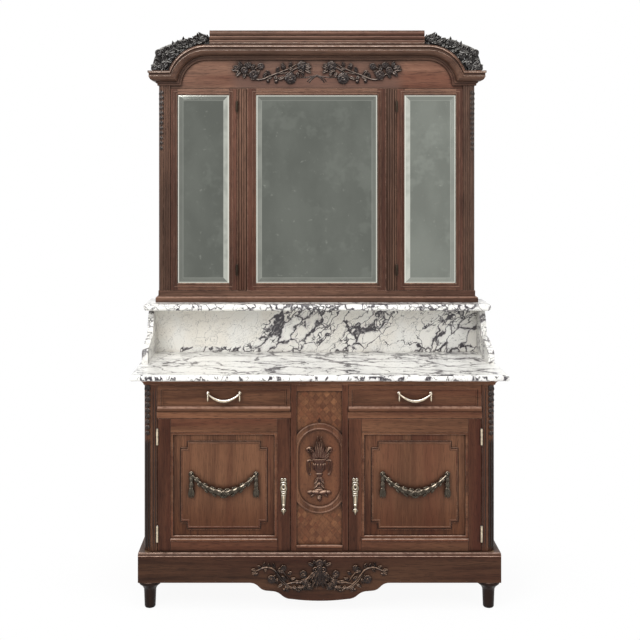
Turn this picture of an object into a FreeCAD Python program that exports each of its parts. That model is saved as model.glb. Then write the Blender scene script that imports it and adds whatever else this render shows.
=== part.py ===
"""A marble-topped washstand with a three-part mirror above it.

Millimetres, +Z up, +X to the right, the front faces -Y. The origin lies under the middle
of the stand, on the floor. The sheet "Sizes" holds every driving dimension, and each piece
is an object of the document whose sizes are bound to it. The right-hand pieces are mirror
images of the left-hand ones.
"""

import FreeCAD
import Part
import Sketcher
import math
import os
from types import SimpleNamespace

SIZES = {
    "overall": {
        "marble_width": 1350.0,
        "marble_depth": 520.0,
        "marble_height": 842.0,
        "marble_thickness": 22.0,
        "marble_edge_radius": 9.0,
        "side_overhang": 45.0,
        "front_overhang": 35.0,
        "back_overhang": 8.0,
    },
    "clearances": {
        "touch_gap": 0.3,
        "leaf_gap": 1.5,
        "hinge_gap": 2.5,
    },
    "feet": {
        "foot_height": 100.0,
        "foot_inset": 39.0,
        "foot_ring_radius": 40.5,
        "foot_ring_height": 8.0,
        "foot_ring_round": 2.0,
        "foot_cushion_radius": 30.0,
        "foot_cushion_height": 6.5,
        "foot_neck_radius": 22.0,
        "foot_neck_height": 22.0,
        "foot_toe_radius": 19.5,
        "foot_toe_round": 5.0,
    },
    "plinth": {
        "plinth_height": 104.0,
        "plinth_side_projection": 18.0,
        "plinth_front_projection": 20.0,
        "plinth_thickness": 22.0,
        "plinth_round": 10.0,
        "floor_thickness": 20.0,
        "corner_block_width": 60.0,
        "apron_half_width": 249.0,
        "apron_drop": 64.0,
    },
    "carcass": {
        "post_width": 48.0,
        "post_depth": 50.0,
        "post_round": 23.0,
        "post_quirk": 3.0,
        "side_thickness": 22.0,
        "side_rail_height": 55.0,
        "side_panel_thickness": 10.0,
        "back_thickness": 10.0,
        "back_board_count": 4.0,
        "partition_thickness": 18.0,
        "shelf_board_thickness": 18.0,
        "shelf_board_height": 300.0,
        "shelf_board_setback": 50.0,
        "front_rail_height": 22.0,
        "front_rail_depth": 60.0,
        "top_rail_height": 18.0,
        "runner_width": 30.0,
        "runner_height": 14.0,
        "guide_height": 36.0,
        "top_moulding_height": 18.0,
        "top_moulding_projection": 11.0,
        "top_moulding_width": 50.0,
        "top_moulding_lip": 3.0,
    },
    "centre": {
        "centre_half_width": 103.0,
        "centre_stile_width": 21.0,
        "centre_rail_height": 22.0,
        "centre_panel_setback": 8.0,
        "centre_panel_thickness": 10.0,
        "ledge_height": 7.0,
        "ledge_projection": 6.0,
        "ring_outer_radius": 99.0,
        "ring_inner_radius": 75.0,
        "ring_lift_height": 1.0,
        "ring_straight_length": 122.0,
        "ring_projection": 6.0,
        "urn_half_width": 44.0,
        "urn_height": 240.0,
        "urn_relief": 14.0,
        "apron_carving_half_width": 245.0,
        "apron_carving_height": 112.0,
        "apron_carving_relief": 9.0,
    },
    "doors": {
        "door_thickness": 22.0,
        "door_stile_width": 46.0,
        "door_top_rail_height": 49.0,
        "door_bottom_rail_height": 45.0,
        "door_panel_setback": 9.0,
        "door_panel_thickness": 9.0,
        "door_bead_width": 9.0,
        "door_bead_depth": 7.0,
        "field_margin": 37.0,
        "field_rise": 4.0,
        "field_notch": 24.0,
        "door_swag_half_span": 116.0,
        "door_swag_sag": 65.0,
        "door_swag_middle_radius": 12.0,
        "door_swag_end_radius": 5.0,
        "door_swag_drop": 88.0,
        "door_swag_lift_height": 39.5,
        "swag_stud_radius": 8.0,
        "swag_standoff": 4.0,
        "escutcheon_length": 134.0,
        "escutcheon_width": 24.0,
        "escutcheon_thickness": 3.0,
        "keyhole_drop_height": 7.5,
        "keyhole_radius": 2.6,
        "keyhole_length": 9.0,
    },
    "locks": {
        "lock_height": 50.0,
        "lock_width": 40.0,
        "lock_thickness": 12.0,
        "bolt_length": 24.0,
        "bolt_thickness": 7.0,
        "bolt_height": 12.0,
        "bolt_travel": 8.0,
    },
    "hinges": {
        "knuckle_radius": 4.0,
        "pin_radius": 1.5,
        "pin_clearance": 0.08,
        "hinge_leaf_thickness": 1.1,
        "door_hinge_leaf_depth": 18.0,
        "door_hinge_height": 58.0,
        "door_hinge_low_inset": 34.0,
        "door_hinge_high_inset": 35.0,
        "wing_hinge_height": 43.0,
        "wing_hinge_leaf_depth": 16.0,
        "wing_hinge_low_inset": 60.0,
        "wing_hinge_high_inset": 50.0,
    },
    "drawers": {
        "drawer_front_height": 95.0,
        "drawer_front_thickness": 22.0,
        "drawer_recess_depth": 4.0,
        "drawer_recess_side": 12.0,
        "drawer_recess_top": 15.0,
        "drawer_ledge_height": 19.0,
        "drawer_ledge_projection": 8.0,
        "drawer_side_thickness": 12.0,
        "drawer_side_height": 70.0,
        "drawer_bottom_thickness": 7.0,
        "drawer_bottom_lift": 6.0,
        "drawer_back_clearance": 30.0,
        "drawer_side_clearance": 9.0,
        "pull_half_span": 57.0,
        "pull_sag": 26.0,
        "pull_middle_radius": 6.0,
        "pull_end_radius": 3.2,
        "pull_drop": 27.0,
        "pull_stud_radius": 6.0,
        "pull_standoff": 10.0,
        "pull_height": 66.0,
    },
    "splash": {
        "splash_height": 182.0,
        "splash_thickness": 20.0,
        "splash_setback": 20.0,
        "bracket_thickness": 22.0,
        "bracket_inset": 12.0,
        "bracket_foot_length": 258.0,
        "bracket_foot_height": 45.0,
        "bracket_step_length": 156.0,
        "bracket_step_height": 78.0,
        "bracket_neck_length": 105.0,
        "bracket_neck_height": 82.0,
        "bracket_top_length": 45.0,
        "bracket_curve_radius": 130.0,
        "shelf_thickness": 25.0,
        "shelf_depth": 180.0,
        "shelf_corner_radius": 14.0,
        "shelf_edge_radius": 10.0,
    },
    "mirror": {
        "mirror_inset": 49.5,
        "mirror_front_setback": 100.0,
        "mirror_base_height": 45.0,
        "mirror_foot_height": 22.0,
        "mirror_foot_projection": 10.0,
        "mirror_foot_round": 7.0,
        "mirror_post_width": 47.5,
        "mirror_post_round": 20.0,
        "mirror_post_reed_depth": 2.5,
        "mirror_opening_height": 798.0,
        "mullion_width": 42.0,
        "flute_radius": 5.0,
        "wing_frame_thickness": 22.0,
        "wing_inner_stile": 30.0,
        "wing_outer_stile": 26.0,
        "mirror_rail_height": 28.0,
        "mirror_top_rail_height": 25.0,
        "centre_mirror_stile": 32.0,
        "centre_mirror_half_width": 272.0,
        "glass_thickness": 3.0,
        "glass_bevel_depth": 2.0,
        "glass_bevel_width": 26.0,
        "glass_bevel_height": 18.0,
        "glass_setback": 5.0,
        "mirror_backing_thickness": 4.0,
        "mirror_back_setback": 30.0,
        "mirror_back_thickness": 18.0,
    },
    "head": {
        "frieze_setback": 6.0,
        "frieze_foot_height": 12.0,
        "arch_radius": 101.0,
        "arch_return_length": 43.0,
        "fillet_one_height": 9.0,
        "fillet_one_projection": 4.0,
        "fillet_two_height": 7.0,
        "fillet_two_projection": 9.0,
        "ovolo_height": 32.0,
        "ovolo_projection": 34.0,
        "ovolo_radius": 20.0,
        "cap_height": 8.0,
        "cap_projection": 38.0,
        "crown_shortfall": 13.0,
        "crown_height": 56.0,
        "crown_projection": 34.0,
        "reed_radius": 8.0,
        "corner_carving_rise": 150.0,
        "corner_carving_thickness": 30.0,
        "frieze_carving_half_width": 335.0,
        "frieze_carving_height": 84.0,
        "frieze_carving_relief": 13.0,
    },
}

# Outlines of the carved pieces. Each point has a share of half the piece's width and a share
# of its height, from the middle of its top down its left side to the middle of its foot,
# and the bend of the stretch that follows, as bent() reads it.
URN_SHARES = [
    (0.0, 1.0, 0.9), (0.42, 0.90, 0.9), (0.95, 0.77, 0.0), (0.66, 0.61, 0.0),
    (1.0, 0.58, 0.0), (0.92, 0.45, 0.9), (0.14, 0.38, 0.0), (0.14, 0.26, 0.0),
    (0.38, 0.235, 0.0), (0.38, 0.165, 0.0), (0.93, 0.15, 0.8), (0.80, 0.09, 0.0),
    (0.22, 0.08, 0.8), (0.0, 0.0, 0.0),
]
APRON_CARVING_SHARES = [
    (0.0, 1.0, 0.9), (0.09, 0.93, 0.0), (0.17, 0.76, 0.0), (0.26, 0.62, 0.0),
    (0.40, 0.50, 0.0), (0.52, 0.42, 0.0), (0.63, 0.52, 0.0), (0.74, 0.72, 0.9),
    (0.86, 0.78, 0.9), (1.0, 0.74, 0.9), (0.97, 0.55, 0.0), (0.80, 0.40, 0.0),
    (0.62, 0.22, 0.0), (0.46, 0.14, 0.0), (0.30, 0.22, 0.0), (0.16, 0.20, 0.9),
    (0.07, 0.0, 0.0), (0.0, 0.02, 0.0),
]
FRIEZE_CARVING_SHARES = [
    (0.0, 0.42, 0.0), (0.10, 0.56, 0.0), (0.14, 0.93, 0.9), (0.22, 1.0, 0.9),
    (0.27, 0.72, 0.0), (0.40, 0.74, 0.0), (0.52, 0.56, 0.0), (0.62, 0.70, 0.0),
    (0.74, 0.95, 0.9), (0.88, 0.82, 0.9), (1.0, 0.62, 0.9), (0.97, 0.40, 0.0),
    (0.86, 0.22, 0.0), (0.70, 0.06, 0.0), (0.58, 0.12, 0.0), (0.46, 0.30, 0.0),
    (0.34, 0.12, 0.0), (0.22, 0.20, 0.0), (0.10, 0.22, 0.0), (0.05, 0.0, 0.0),
    (0.0, 0.14, 0.0),
]
# The corner carving's scalloped upper edge, from its outer end to the crown: shares of its
# span outwards from the crown and of its rise, and the bend of the stretch that follows.
CORNER_CARVING_SHARES = [
    (1.0, 0.0, 0.0), (0.96, 0.20, 0.0), (0.94, 0.33, -0.8), (0.90, 0.54, -0.8),
    (0.76, 0.55, -0.9), (0.65, 0.67, -1.0), (0.48, 0.82, -1.0), (0.31, 0.94, 0.0),
    (0.24, 0.99, 0.0), (0.08, 1.0, 0.0), (0.04, 0.83, 0.0),
]
# The double curve of the apron, from its left end to its middle: shares of its half width
# and of its drop, and the bend of the stretch that follows, as bent() reads it.
APRON_SHARES = [
    (1.0, 0.0, -1.23), (0.87, 0.22, 1.23), (0.745, 0.44, 0.0), (0.69, 0.46, -1.38),
    (0.545, 0.68, 1.38), (0.40, 0.90, 7.7), (0.0, 1.0, 0.0),
]
# The escutcheon's left edge, from its top down: shares of half its width and of its length,
# and the bend of the stretch that follows.
ESCUTCHEON_SHARES = [
    (0.0, 0.975, 0.7), (0.93, 0.925, 0.0), (0.70, 0.895, 0.0), (1.0, 0.845, 0.0),
    (0.72, 0.80, 0.75), (0.72, 0.64, 0.0), (0.86, 0.62, 0.0), (0.72, 0.59, 0.0),
    (0.82, 0.565, 0.0), (0.70, 0.53, 0.0), (0.50, 0.27, 0.0), (0.27, 0.20, 0.0),
    (0.36, 0.155, 0.0), (0.85, 0.11, 0.0), (0.36, 0.085, 0.0), (0.0, 0.0, 0.0),
]
# The keyhole's place up the escutcheon.
KEYHOLE_SHARE = 0.745
SWAG_SECTION_SHARES = [-1.0, -0.82, -0.6, -0.36, -0.12, 0.12, 0.36, 0.6, 0.82, 1.0]
# A garland's hanging end, from its stud down: shares of its length and of the garland's end
# radius.
DROP_SHARES = [(0.0, 0.9), (0.24, 1.5), (0.48, 0.8), (0.78, 1.6), (1.0, 0.6)]
# What is small, round and repeated has flat sides.
SWAG_SIDES = 6
ROD_SIDES = 12
FOOT_SIDES = 16
# A round-cornered bore's flats lie nearer to its middle than its corners by this share.
BORE_SHARE = 1 / math.cos(math.pi / ROD_SIDES)
SAME_PLACE = 0.01
LEFT = 1
RIGHT = -1

DOC = FreeCAD.newDocument("Washstand")
NODES = []


class Size:
    """A length or a share: a formula in the sheet's names, together with its value."""

    def __init__(self, formula, value):
        self.formula = formula
        self.value = value

    def __float__(self):
        return self.value

    def __neg__(self):
        return Size(f"(-1 * {self.formula})", -self.value)

    def __add__(self, other):
        other = as_size(other)
        return Size(f"({self.formula} + {other.formula})", self.value + other.value)

    def __sub__(self, other):
        other = as_size(other)
        return Size(f"({self.formula} - {other.formula})", self.value - other.value)

    def __mul__(self, other):
        other = as_size(other)
        return Size(f"({self.formula} * {other.formula})", self.value * other.value)

    def __truediv__(self, other):
        other = as_size(other)
        return Size(f"({self.formula} / {other.formula})", self.value / other.value)


def as_size(value):
    if isinstance(value, Size):
        return value
    return Size(f"({float(value)})", float(value))


def root(size):
    return Size(f"sqrt({size.formula})", math.sqrt(size.value))


def fill_sheet():
    """Writes the driving dimensions to the sheet, one row each, with their names."""
    sheet = DOC.addObject("Spreadsheet::Sheet", "Sizes")
    named = {}
    row = 0
    for group, sizes in SIZES.items():
        row += 1
        sheet.set(f"A{row}", group)
        for name, value in sizes.items():
            row += 1
            sheet.set(f"A{row}", name)
            sheet.set(f"B{row}", str(value))
            sheet.setAlias(f"B{row}", name)
            named[name] = Size(f"Sizes.{name}", value)
    DOC.recompute()
    return SimpleNamespace(**named)


S = fill_sheet()


# Levels and planes that several pieces share.
HALF_WIDTH = S.marble_width / 2
FRONT_Y = -S.marble_depth / 2
BACK_Y = S.marble_depth / 2
FACE_Y = FRONT_Y + S.front_overhang
BODY_BACK_Y = BACK_Y - S.back_overhang
BODY_HALF = HALF_WIDTH - S.side_overhang
PLINTH_HALF = BODY_HALF + S.plinth_side_projection
PLINTH_Y = FACE_Y - S.plinth_front_projection
FLOOR_Z = S.foot_height + S.plinth_height
MARBLE_Z = S.marble_height - S.marble_thickness
BODY_TOP_Z = MARBLE_Z - S.top_moulding_height
POST_X = BODY_HALF - S.post_width
SIDE_X = BODY_HALF - S.side_thickness
BEHIND_POST_Y = FACE_Y + S.post_depth
BEHIND_FACE_Y = FACE_Y + S.door_thickness
INNER_BACK_Y = BODY_BACK_Y - S.back_thickness
DOOR_Z = FLOOR_Z + S.leaf_gap
DRAWER_Z = BODY_TOP_Z - S.leaf_gap * 2 - S.drawer_front_height
RAIL_Z = DRAWER_Z - S.front_rail_height
DOOR_TOP_Z = RAIL_Z - S.leaf_gap
DOOR_MIDDLE_Z = (DOOR_Z + DOOR_TOP_Z) / 2
KEYHOLE_Z = DOOR_MIDDLE_Z - S.keyhole_drop_height
SPLASH_Y = BACK_Y - S.splash_setback - S.splash_thickness
SHELF_Z = S.marble_height + S.splash_height
SHELF_TOP_Z = SHELF_Z + S.shelf_thickness
MIRROR_HALF = HALF_WIDTH - S.mirror_inset
MIRROR_Y = BACK_Y - S.mirror_front_setback
MIRROR_BACK_Y = MIRROR_Y + S.mirror_back_setback
MIRROR_Z = SHELF_TOP_Z + S.mirror_base_height
MIRROR_TOP_Z = MIRROR_Z + S.mirror_opening_height
MIRROR_POST_X = MIRROR_HALF - S.mirror_post_width
MULLION_X = S.centre_mirror_half_width + S.mullion_width
ARCH_Z = MIRROR_TOP_Z + S.frieze_foot_height
ARCH_CENTRE_X = MIRROR_POST_X - S.arch_return_length - S.arch_radius
CROWN_HALF = ARCH_CENTRE_X - S.crown_shortfall
BAND_HEIGHT = (S.fillet_one_height + S.fillet_two_height + S.ovolo_height
               + S.cap_height)


def bind(thing, prop, size):
    if isinstance(size, Size):
        thing.setExpression(prop, size.formula)


def place(thing, x=0, y=0, z=0):
    bind(thing, "Placement.Base.x", as_size(x))
    bind(thing, "Placement.Base.y", as_size(y))
    bind(thing, "Placement.Base.z", as_size(z))
    return thing


def node(label, thing):
    """Names a finished piece, so that it is written to a file of its own."""
    thing.Label = label
    NODES.append(thing)
    return thing


def board(name, x_range, y_range, z_range):
    """A plain board between two corners."""
    thing = DOC.addObject("Part::Box", name)
    bind(thing, "Length", as_size(x_range[1]) - x_range[0])
    bind(thing, "Width", as_size(y_range[1]) - y_range[0])
    bind(thing, "Height", as_size(z_range[1]) - z_range[0])
    return place(thing, x_range[0], y_range[0], z_range[0])


def rod(name, radius, height, x, y, z):
    """An upright rod with ROD_SIDES flat sides."""
    thing = DOC.addObject("Part::Prism", name)
    thing.Polygon = ROD_SIDES
    bind(thing, "Circumradius", radius)
    bind(thing, "Height", height)
    return place(thing, x, y, z)


def group(name, things):
    """Several solids that stay separate and are kept together."""
    thing = DOC.addObject("Part::Compound", name)
    thing.Links = things
    return thing


def fused(name, things):
    thing = DOC.addObject("Part::MultiFuse", name)
    thing.Shapes = things
    thing.Refine = True
    return thing


def cut(name, base, tool):
    thing = DOC.addObject("Part::Cut", name)
    thing.Base = base
    thing.Tool = tool
    return thing


def mirrored(name, source):
    """The same piece on the right-hand side."""
    thing = DOC.addObject("Part::Mirroring", name)
    thing.Source = source
    thing.Normal = FreeCAD.Vector(1, 0, 0)
    return thing


def both_sides(name, things):
    """The pieces of the left-hand side and their mirror images, in one node."""
    copies = [mirrored(f"{name}_mirror_{n}", thing) for n, thing in enumerate(things)]
    return group(name, things + copies)


def pair(pattern, left):
    """A left-hand node and its right-hand mirror image."""
    node(pattern.format("left"), left)
    node(pattern.format("right"), mirrored(pattern.format("right"), left))


def symmetric(half):
    """A closed outline from its left half, which runs from the top to the bottom."""
    other = []
    for n in range(len(half) - 1, -1, -1):
        u, v = half[n][:2]
        bend = half[n - 1][2:] if n else ()
        if abs(float(u)) < SAME_PLACE:
            if other or not n:
                continue
            other.append((u, v, *bend))
            half = half[:n]
            continue
        other.append((-as_size(u), v, *bend))
    return half + other


def bent(points):
    """The points (u, v, bend) joined by arcs, each with a radius of bend times its chord.
    An arc bends to the left where bend is above zero and to the right where it is below,
    and at zero the stretch is straight."""
    result = []
    for n, (u, v, bend) in enumerate(points[:-1]):
        next_u, next_v = points[n + 1][:2]
        across = as_size(next_u) - u
        along = as_size(next_v) - v
        chord = root(across * across + along * along)
        arc = (chord * abs(bend), LEFT if bend > 0 else RIGHT) if bend else ()
        result.append((u, v, *arc))
    result.append(points[-1][:2])
    return result


def arc_between(a, b, radius, turn):
    """The short arc from a to b that bends to the LEFT or to the RIGHT."""
    chord = b - a
    height = math.sqrt(max(radius**2 - (chord.Length / 2) ** 2, 0))
    side = FreeCAD.Vector(-chord.y, chord.x, 0).normalize() * (height * turn)
    centre = (a + b) / 2 + side
    from_point, to_point = (a, b) if turn == LEFT else (b, a)
    begin = math.atan2(from_point.y - centre.y, from_point.x - centre.x)
    finish = math.atan2(to_point.y - centre.y, to_point.x - centre.x)
    if finish <= begin:
        finish += 2 * math.pi
    circle = Part.Circle(centre, FreeCAD.Vector(0, 0, 1), radius)
    return Part.ArcOfCircle(circle, begin, finish)


def draw_loop(sketch, loop):
    """Draws a closed outline: each vertex is (u, v), or (u, v, radius, LEFT or RIGHT) where
    an arc that bends that way leads to the next one. Every vertex is tied to the sheet."""
    count = len(loop)
    first = sketch.GeometryCount
    points = [FreeCAD.Vector(float(vertex[0]), float(vertex[1]), 0) for vertex in loop]
    edges = []
    starts = []
    ends = []
    for n, vertex in enumerate(loop):
        a = points[n]
        b = points[(n + 1) % count]
        backwards = len(vertex) > 2 and vertex[3] == RIGHT
        edges.append(arc_between(a, b, float(vertex[2]), vertex[3]) if len(vertex) > 2
                     else Part.LineSegment(a, b))
        starts.append((first + n, 2 if backwards else 1))
        ends.append((first + n, 1 if backwards else 2))
    rules = [Sketcher.Constraint("Coincident", *ends[n], *starts[(n + 1) % count])
             for n in range(count)]
    sizes = [None] * count
    for n, vertex in enumerate(loop):
        rules.append(Sketcher.Constraint("DistanceX", *starts[n], float(vertex[0])))
        rules.append(Sketcher.Constraint("DistanceY", *starts[n], float(vertex[1])))
        sizes += vertex[:2]
        if len(vertex) > 2:
            rules.append(Sketcher.Constraint("Radius", first + n, float(vertex[2])))
            sizes.append(vertex[2])
    first_rule = sketch.ConstraintCount
    sketch.addGeometry(edges, False)
    sketch.addConstraint(rules)
    for n, size in enumerate(sizes):
        bind(sketch, f"Constraints[{first_rule + n}]", size)


def new_sketch(body, plane, loops):
    """A sketch on one of the body's own planes."""
    sketch = body.newObject("Sketcher::SketchObject", f"{body.Name}_outline")
    origin_plane = [
        feature for feature in body.Origin.OriginFeatures if feature.Role == plane][0]
    sketch.AttachmentSupport = [(origin_plane, "")]
    sketch.MapMode = "FlatFace"
    for loop in loops:
        draw_loop(sketch, loop)
    return sketch


def extruded(name, plane, loops, start, length):
    """A body padded from an outline, with any holes. The pad runs from start along +X on
    the YZ plane and along +Z on the XY plane, and ends at start, from -Y, on the XZ plane."""
    body = DOC.addObject("PartDesign::Body", name)
    sketch = new_sketch(body, plane, loops)
    pad = body.newObject("PartDesign::Pad", f"{body.Name}_pad")
    pad.Profile = sketch
    bind(pad, "Length", as_size(length))
    if plane == "XZ_Plane":
        place(body, y=start)
    elif plane == "YZ_Plane":
        place(body, x=start)
    else:
        place(body, z=start)
    return body


def faceted_turning(name, profile, x, y):
    """An upright turned piece with FOOT_SIDES flat sides, as a ruled loft through a polygon
    at each (radius, height) of its profile."""
    sections = []
    for n, (radius, height) in enumerate(profile):
        section = DOC.addObject("Part::RegularPolygon", f"{name}_section_{n}")
        section.Polygon = FOOT_SIDES
        bind(section, "Circumradius", radius)
        sections.append(place(section, x, y, height))
    loft = DOC.addObject("Part::Loft", name)
    loft.Sections = sections
    loft.Solid = True
    loft.Ruled = True
    return loft


def rounded(body, radius, wanted):
    """Rounds the edges of the body's last feature for which wanted(edge) holds."""
    DOC.recompute()
    base = body.Tip
    names = [f"Edge{n + 1}" for n, edge in enumerate(base.Shape.Edges) if wanted(edge)]
    fillet = body.newObject("PartDesign::Fillet", f"{body.Name}_round")
    fillet.Base = (base, names)
    bind(fillet, "Radius", as_size(radius))
    return body


def lies_at(edge, axis, place_wanted):
    """Whether a whole edge lies at one place along an axis of its body."""
    box = edge.BoundBox
    low = getattr(box, f"{axis}Min")
    high = getattr(box, f"{axis}Max")
    wanted = float(place_wanted)
    return abs(low - wanted) < SAME_PLACE and abs(high - wanted) < SAME_PLACE


def rectangle(u_range, v_range):
    return [
        (u_range[0], v_range[0]),
        (u_range[1], v_range[0]),
        (u_range[1], v_range[1]),
        (u_range[0], v_range[1]),
    ]


def make_feet():
    """Four turned feet, each a tapered peg that widens to a cushion and a ring."""
    ring_low = S.foot_height - S.foot_ring_height
    ring_end_radius = S.foot_ring_radius - S.foot_ring_round
    profile = [
        (S.foot_toe_radius - S.foot_toe_round, 0),
        (S.foot_toe_radius, S.foot_toe_round),
        (S.foot_neck_radius, ring_low - S.foot_neck_height),
        (S.foot_cushion_radius, ring_low - S.foot_cushion_height),
        (ring_end_radius, ring_low),
        (S.foot_ring_radius, ring_low + S.foot_ring_height / 2),
        (ring_end_radius, S.foot_height),
    ]
    x = -(PLINTH_HALF - S.foot_inset)
    front_y = PLINTH_Y + S.foot_inset
    back_y = BODY_BACK_Y - S.foot_inset
    feet = [faceted_turning("foot_front", profile, x, front_y),
            faceted_turning("foot_back", profile, x, back_y)]
    node("feet", both_sides("feet", feet))


def make_plinth():
    """The plinth's front, whose foot is cut to the apron's outline, and its sides."""
    edge = [(-S.apron_half_width * across if across else 0,
             S.foot_height - S.apron_drop * down, bend)
            for across, down, bend in APRON_SHARES]
    left = [(-PLINTH_HALF, FLOOR_Z), (-PLINTH_HALF, S.foot_height)]
    front = extruded("plinth_front", "XZ_Plane", [symmetric(left + bent(edge))],
                     PLINTH_Y + S.plinth_thickness, S.plinth_thickness)
    rounded(front, S.plinth_round, lambda edge: lies_at(edge, "Z", FLOOR_Z)
            and lies_at(edge, "Y", -S.plinth_thickness))
    node("plinth_front", front)

    inner_x = PLINTH_HALF - S.plinth_thickness
    inner_y = PLINTH_Y + S.plinth_thickness
    side = board("plinth_side", (-PLINTH_HALF, -inner_x), (inner_y, BODY_BACK_Y),
                 (S.foot_height, FLOOR_Z))
    block_x = (-inner_x, -inner_x + S.corner_block_width)
    block_z = (S.foot_height, FLOOR_Z - S.floor_thickness)
    front_block = board("plinth_front_block", block_x,
                        (inner_y, inner_y + S.corner_block_width), block_z)
    back_block = board("plinth_back_block", block_x,
                       (BODY_BACK_Y - S.corner_block_width, BODY_BACK_Y), block_z)
    node("plinth_sides", both_sides("plinth_sides", [side, front_block, back_block]))
    node("bottom_board", board("bottom_board", (-inner_x, inner_x),
                               (inner_y, BODY_BACK_Y),
                               (FLOOR_Z - S.floor_thickness, FLOOR_Z)))

    centre_z = S.foot_height - S.apron_drop + S.apron_carving_height / 2
    carving_foot = centre_z - S.apron_carving_height * 0.24
    outline = carved_outline(APRON_CARVING_SHARES, S.apron_carving_half_width,
                             S.apron_carving_height, carving_foot)
    node("apron_carving", extruded("apron_carving", "XZ_Plane", [outline], PLINTH_Y,
                                   S.apron_carving_relief))


def carved_outline(shares, half_width, height, foot_z):
    """The outline of a symmetric carving that stands at foot_z."""
    half = [(-half_width * across if across else 0, foot_z + height * up, bend)
            for across, up, bend in shares]
    return symmetric(bent(half))


def make_posts():
    """Front corner posts: a flat inner strip, a quirk and a rounded outer strip."""
    flat_end = -POST_X - (S.post_width - S.post_round - S.post_quirk)
    round_start = flat_end - S.post_quirk
    section = [
        (-POST_X, BEHIND_POST_Y),
        (-BODY_HALF, BEHIND_POST_Y),
        (-BODY_HALF, FACE_Y + S.post_quirk + S.post_round, S.post_round, LEFT),
        (round_start, FACE_Y + S.post_quirk),
        (flat_end, FACE_Y + S.post_quirk),
        (flat_end, FACE_Y),
        (-POST_X, FACE_Y),
    ]
    post = extruded("corner_post_left", "XY_Plane", [section], FLOOR_Z,
                    BODY_TOP_Z - FLOOR_Z)
    pair("corner_post_{}", post)


def make_sides_and_back():
    """Framed and panelled sides, and the boards that close the back."""
    stile_y = BODY_BACK_Y - S.post_depth
    outer = (-BODY_HALF, -SIDE_X)
    stile = board("side_stile", outer, (stile_y, BODY_BACK_Y), (FLOOR_Z, BODY_TOP_Z))
    rail_y = (BEHIND_POST_Y, stile_y)
    low_rail = board("side_low_rail", outer, rail_y,
                     (FLOOR_Z, FLOOR_Z + S.side_rail_height))
    top_rail = board("side_top_rail", outer, rail_y,
                     (BODY_TOP_Z - S.side_rail_height, BODY_TOP_Z))
    panel_x = -SIDE_X - (S.side_thickness - S.side_panel_thickness) / 2
    panel = board("side_panel", (panel_x - S.side_panel_thickness, panel_x), rail_y,
                  (FLOOR_Z + S.side_rail_height, BODY_TOP_Z - S.side_rail_height))
    node("side_frames", both_sides("side_frames", [stile, low_rail, top_rail, panel]))

    count = int(float(S.back_board_count))
    width = SIDE_X * 2 / count
    boards = [board(f"back_board_{n}", (-SIDE_X + width * n, -SIDE_X + width * (n + 1)),
                    (INNER_BACK_Y, BODY_BACK_Y), (FLOOR_Z, BODY_TOP_Z))
              for n in range(count)]
    node("back_boards", group("back_boards", boards))


def make_inside():
    """Partitions beside the centre, the rails, runners and guides, and the shelves."""
    inner_x = -(S.centre_half_width - S.partition_thickness)
    outer_x = -S.centre_half_width
    wall = board("partition_board", (outer_x, inner_x), (BEHIND_FACE_Y, INNER_BACK_Y),
                 (FLOOR_Z, BODY_TOP_Z))
    bolt_y = BEHIND_FACE_Y + S.lock_thickness / 2
    half_bolt = S.bolt_thickness / 2 + S.touch_gap * 2
    mortise = board("partition_mortise", (outer_x, outer_x + S.bolt_travel + S.touch_gap),
                    (bolt_y - half_bolt, bolt_y + half_bolt),
                    (KEYHOLE_Z - S.bolt_height / 2 - S.touch_gap * 2,
                     KEYHOLE_Z + S.bolt_height / 2 + S.touch_gap * 2))
    partition = cut("partition", wall, mortise)
    node("partitions", both_sides("partitions", [partition]))

    rail_y = (FACE_Y, FACE_Y + S.front_rail_depth)
    front_rail = board("front_rail", (-POST_X, outer_x), rail_y, (RAIL_Z, DRAWER_Z))
    top_rail = board("top_front_rail", (-POST_X, outer_x),
                     (BEHIND_FACE_Y + S.leaf_gap, FACE_Y + S.front_rail_depth),
                     (BODY_TOP_Z - S.top_rail_height, BODY_TOP_Z))
    runner_y = (FACE_Y + S.front_rail_depth, INNER_BACK_Y)
    runner_z = (DRAWER_Z - S.runner_height, DRAWER_Z)
    guide_z = (DRAWER_Z, DRAWER_Z + S.guide_height)
    drawer_outer = -POST_X + S.leaf_gap + S.drawer_side_clearance
    drawer_inner = outer_x - S.leaf_gap - S.drawer_side_clearance
    outer_runner = board("outer_runner", (-SIDE_X, drawer_outer + S.runner_width),
                         runner_y, runner_z)
    outer_guide = board("outer_guide", (-SIDE_X, drawer_outer - S.leaf_gap / 2),
                        runner_y, guide_z)
    inner_runner = board("inner_runner", (drawer_inner - S.runner_width, outer_x),
                         runner_y, runner_z)
    inner_guide = board("inner_guide", (drawer_inner + S.leaf_gap / 2, outer_x),
                        runner_y, guide_z)
    node("carcass_rails", both_sides("carcass_rails", [
        front_rail, top_rail, outer_runner, outer_guide, inner_runner, inner_guide]))

    shelf_z = FLOOR_Z + S.shelf_board_height
    shelf = board("cupboard_shelf", (-SIDE_X, outer_x),
                  (FACE_Y + S.shelf_board_setback, INNER_BACK_Y),
                  (shelf_z - S.shelf_board_thickness, shelf_z))
    node("cupboard_shelves", both_sides("cupboard_shelves", [shelf]))


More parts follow.
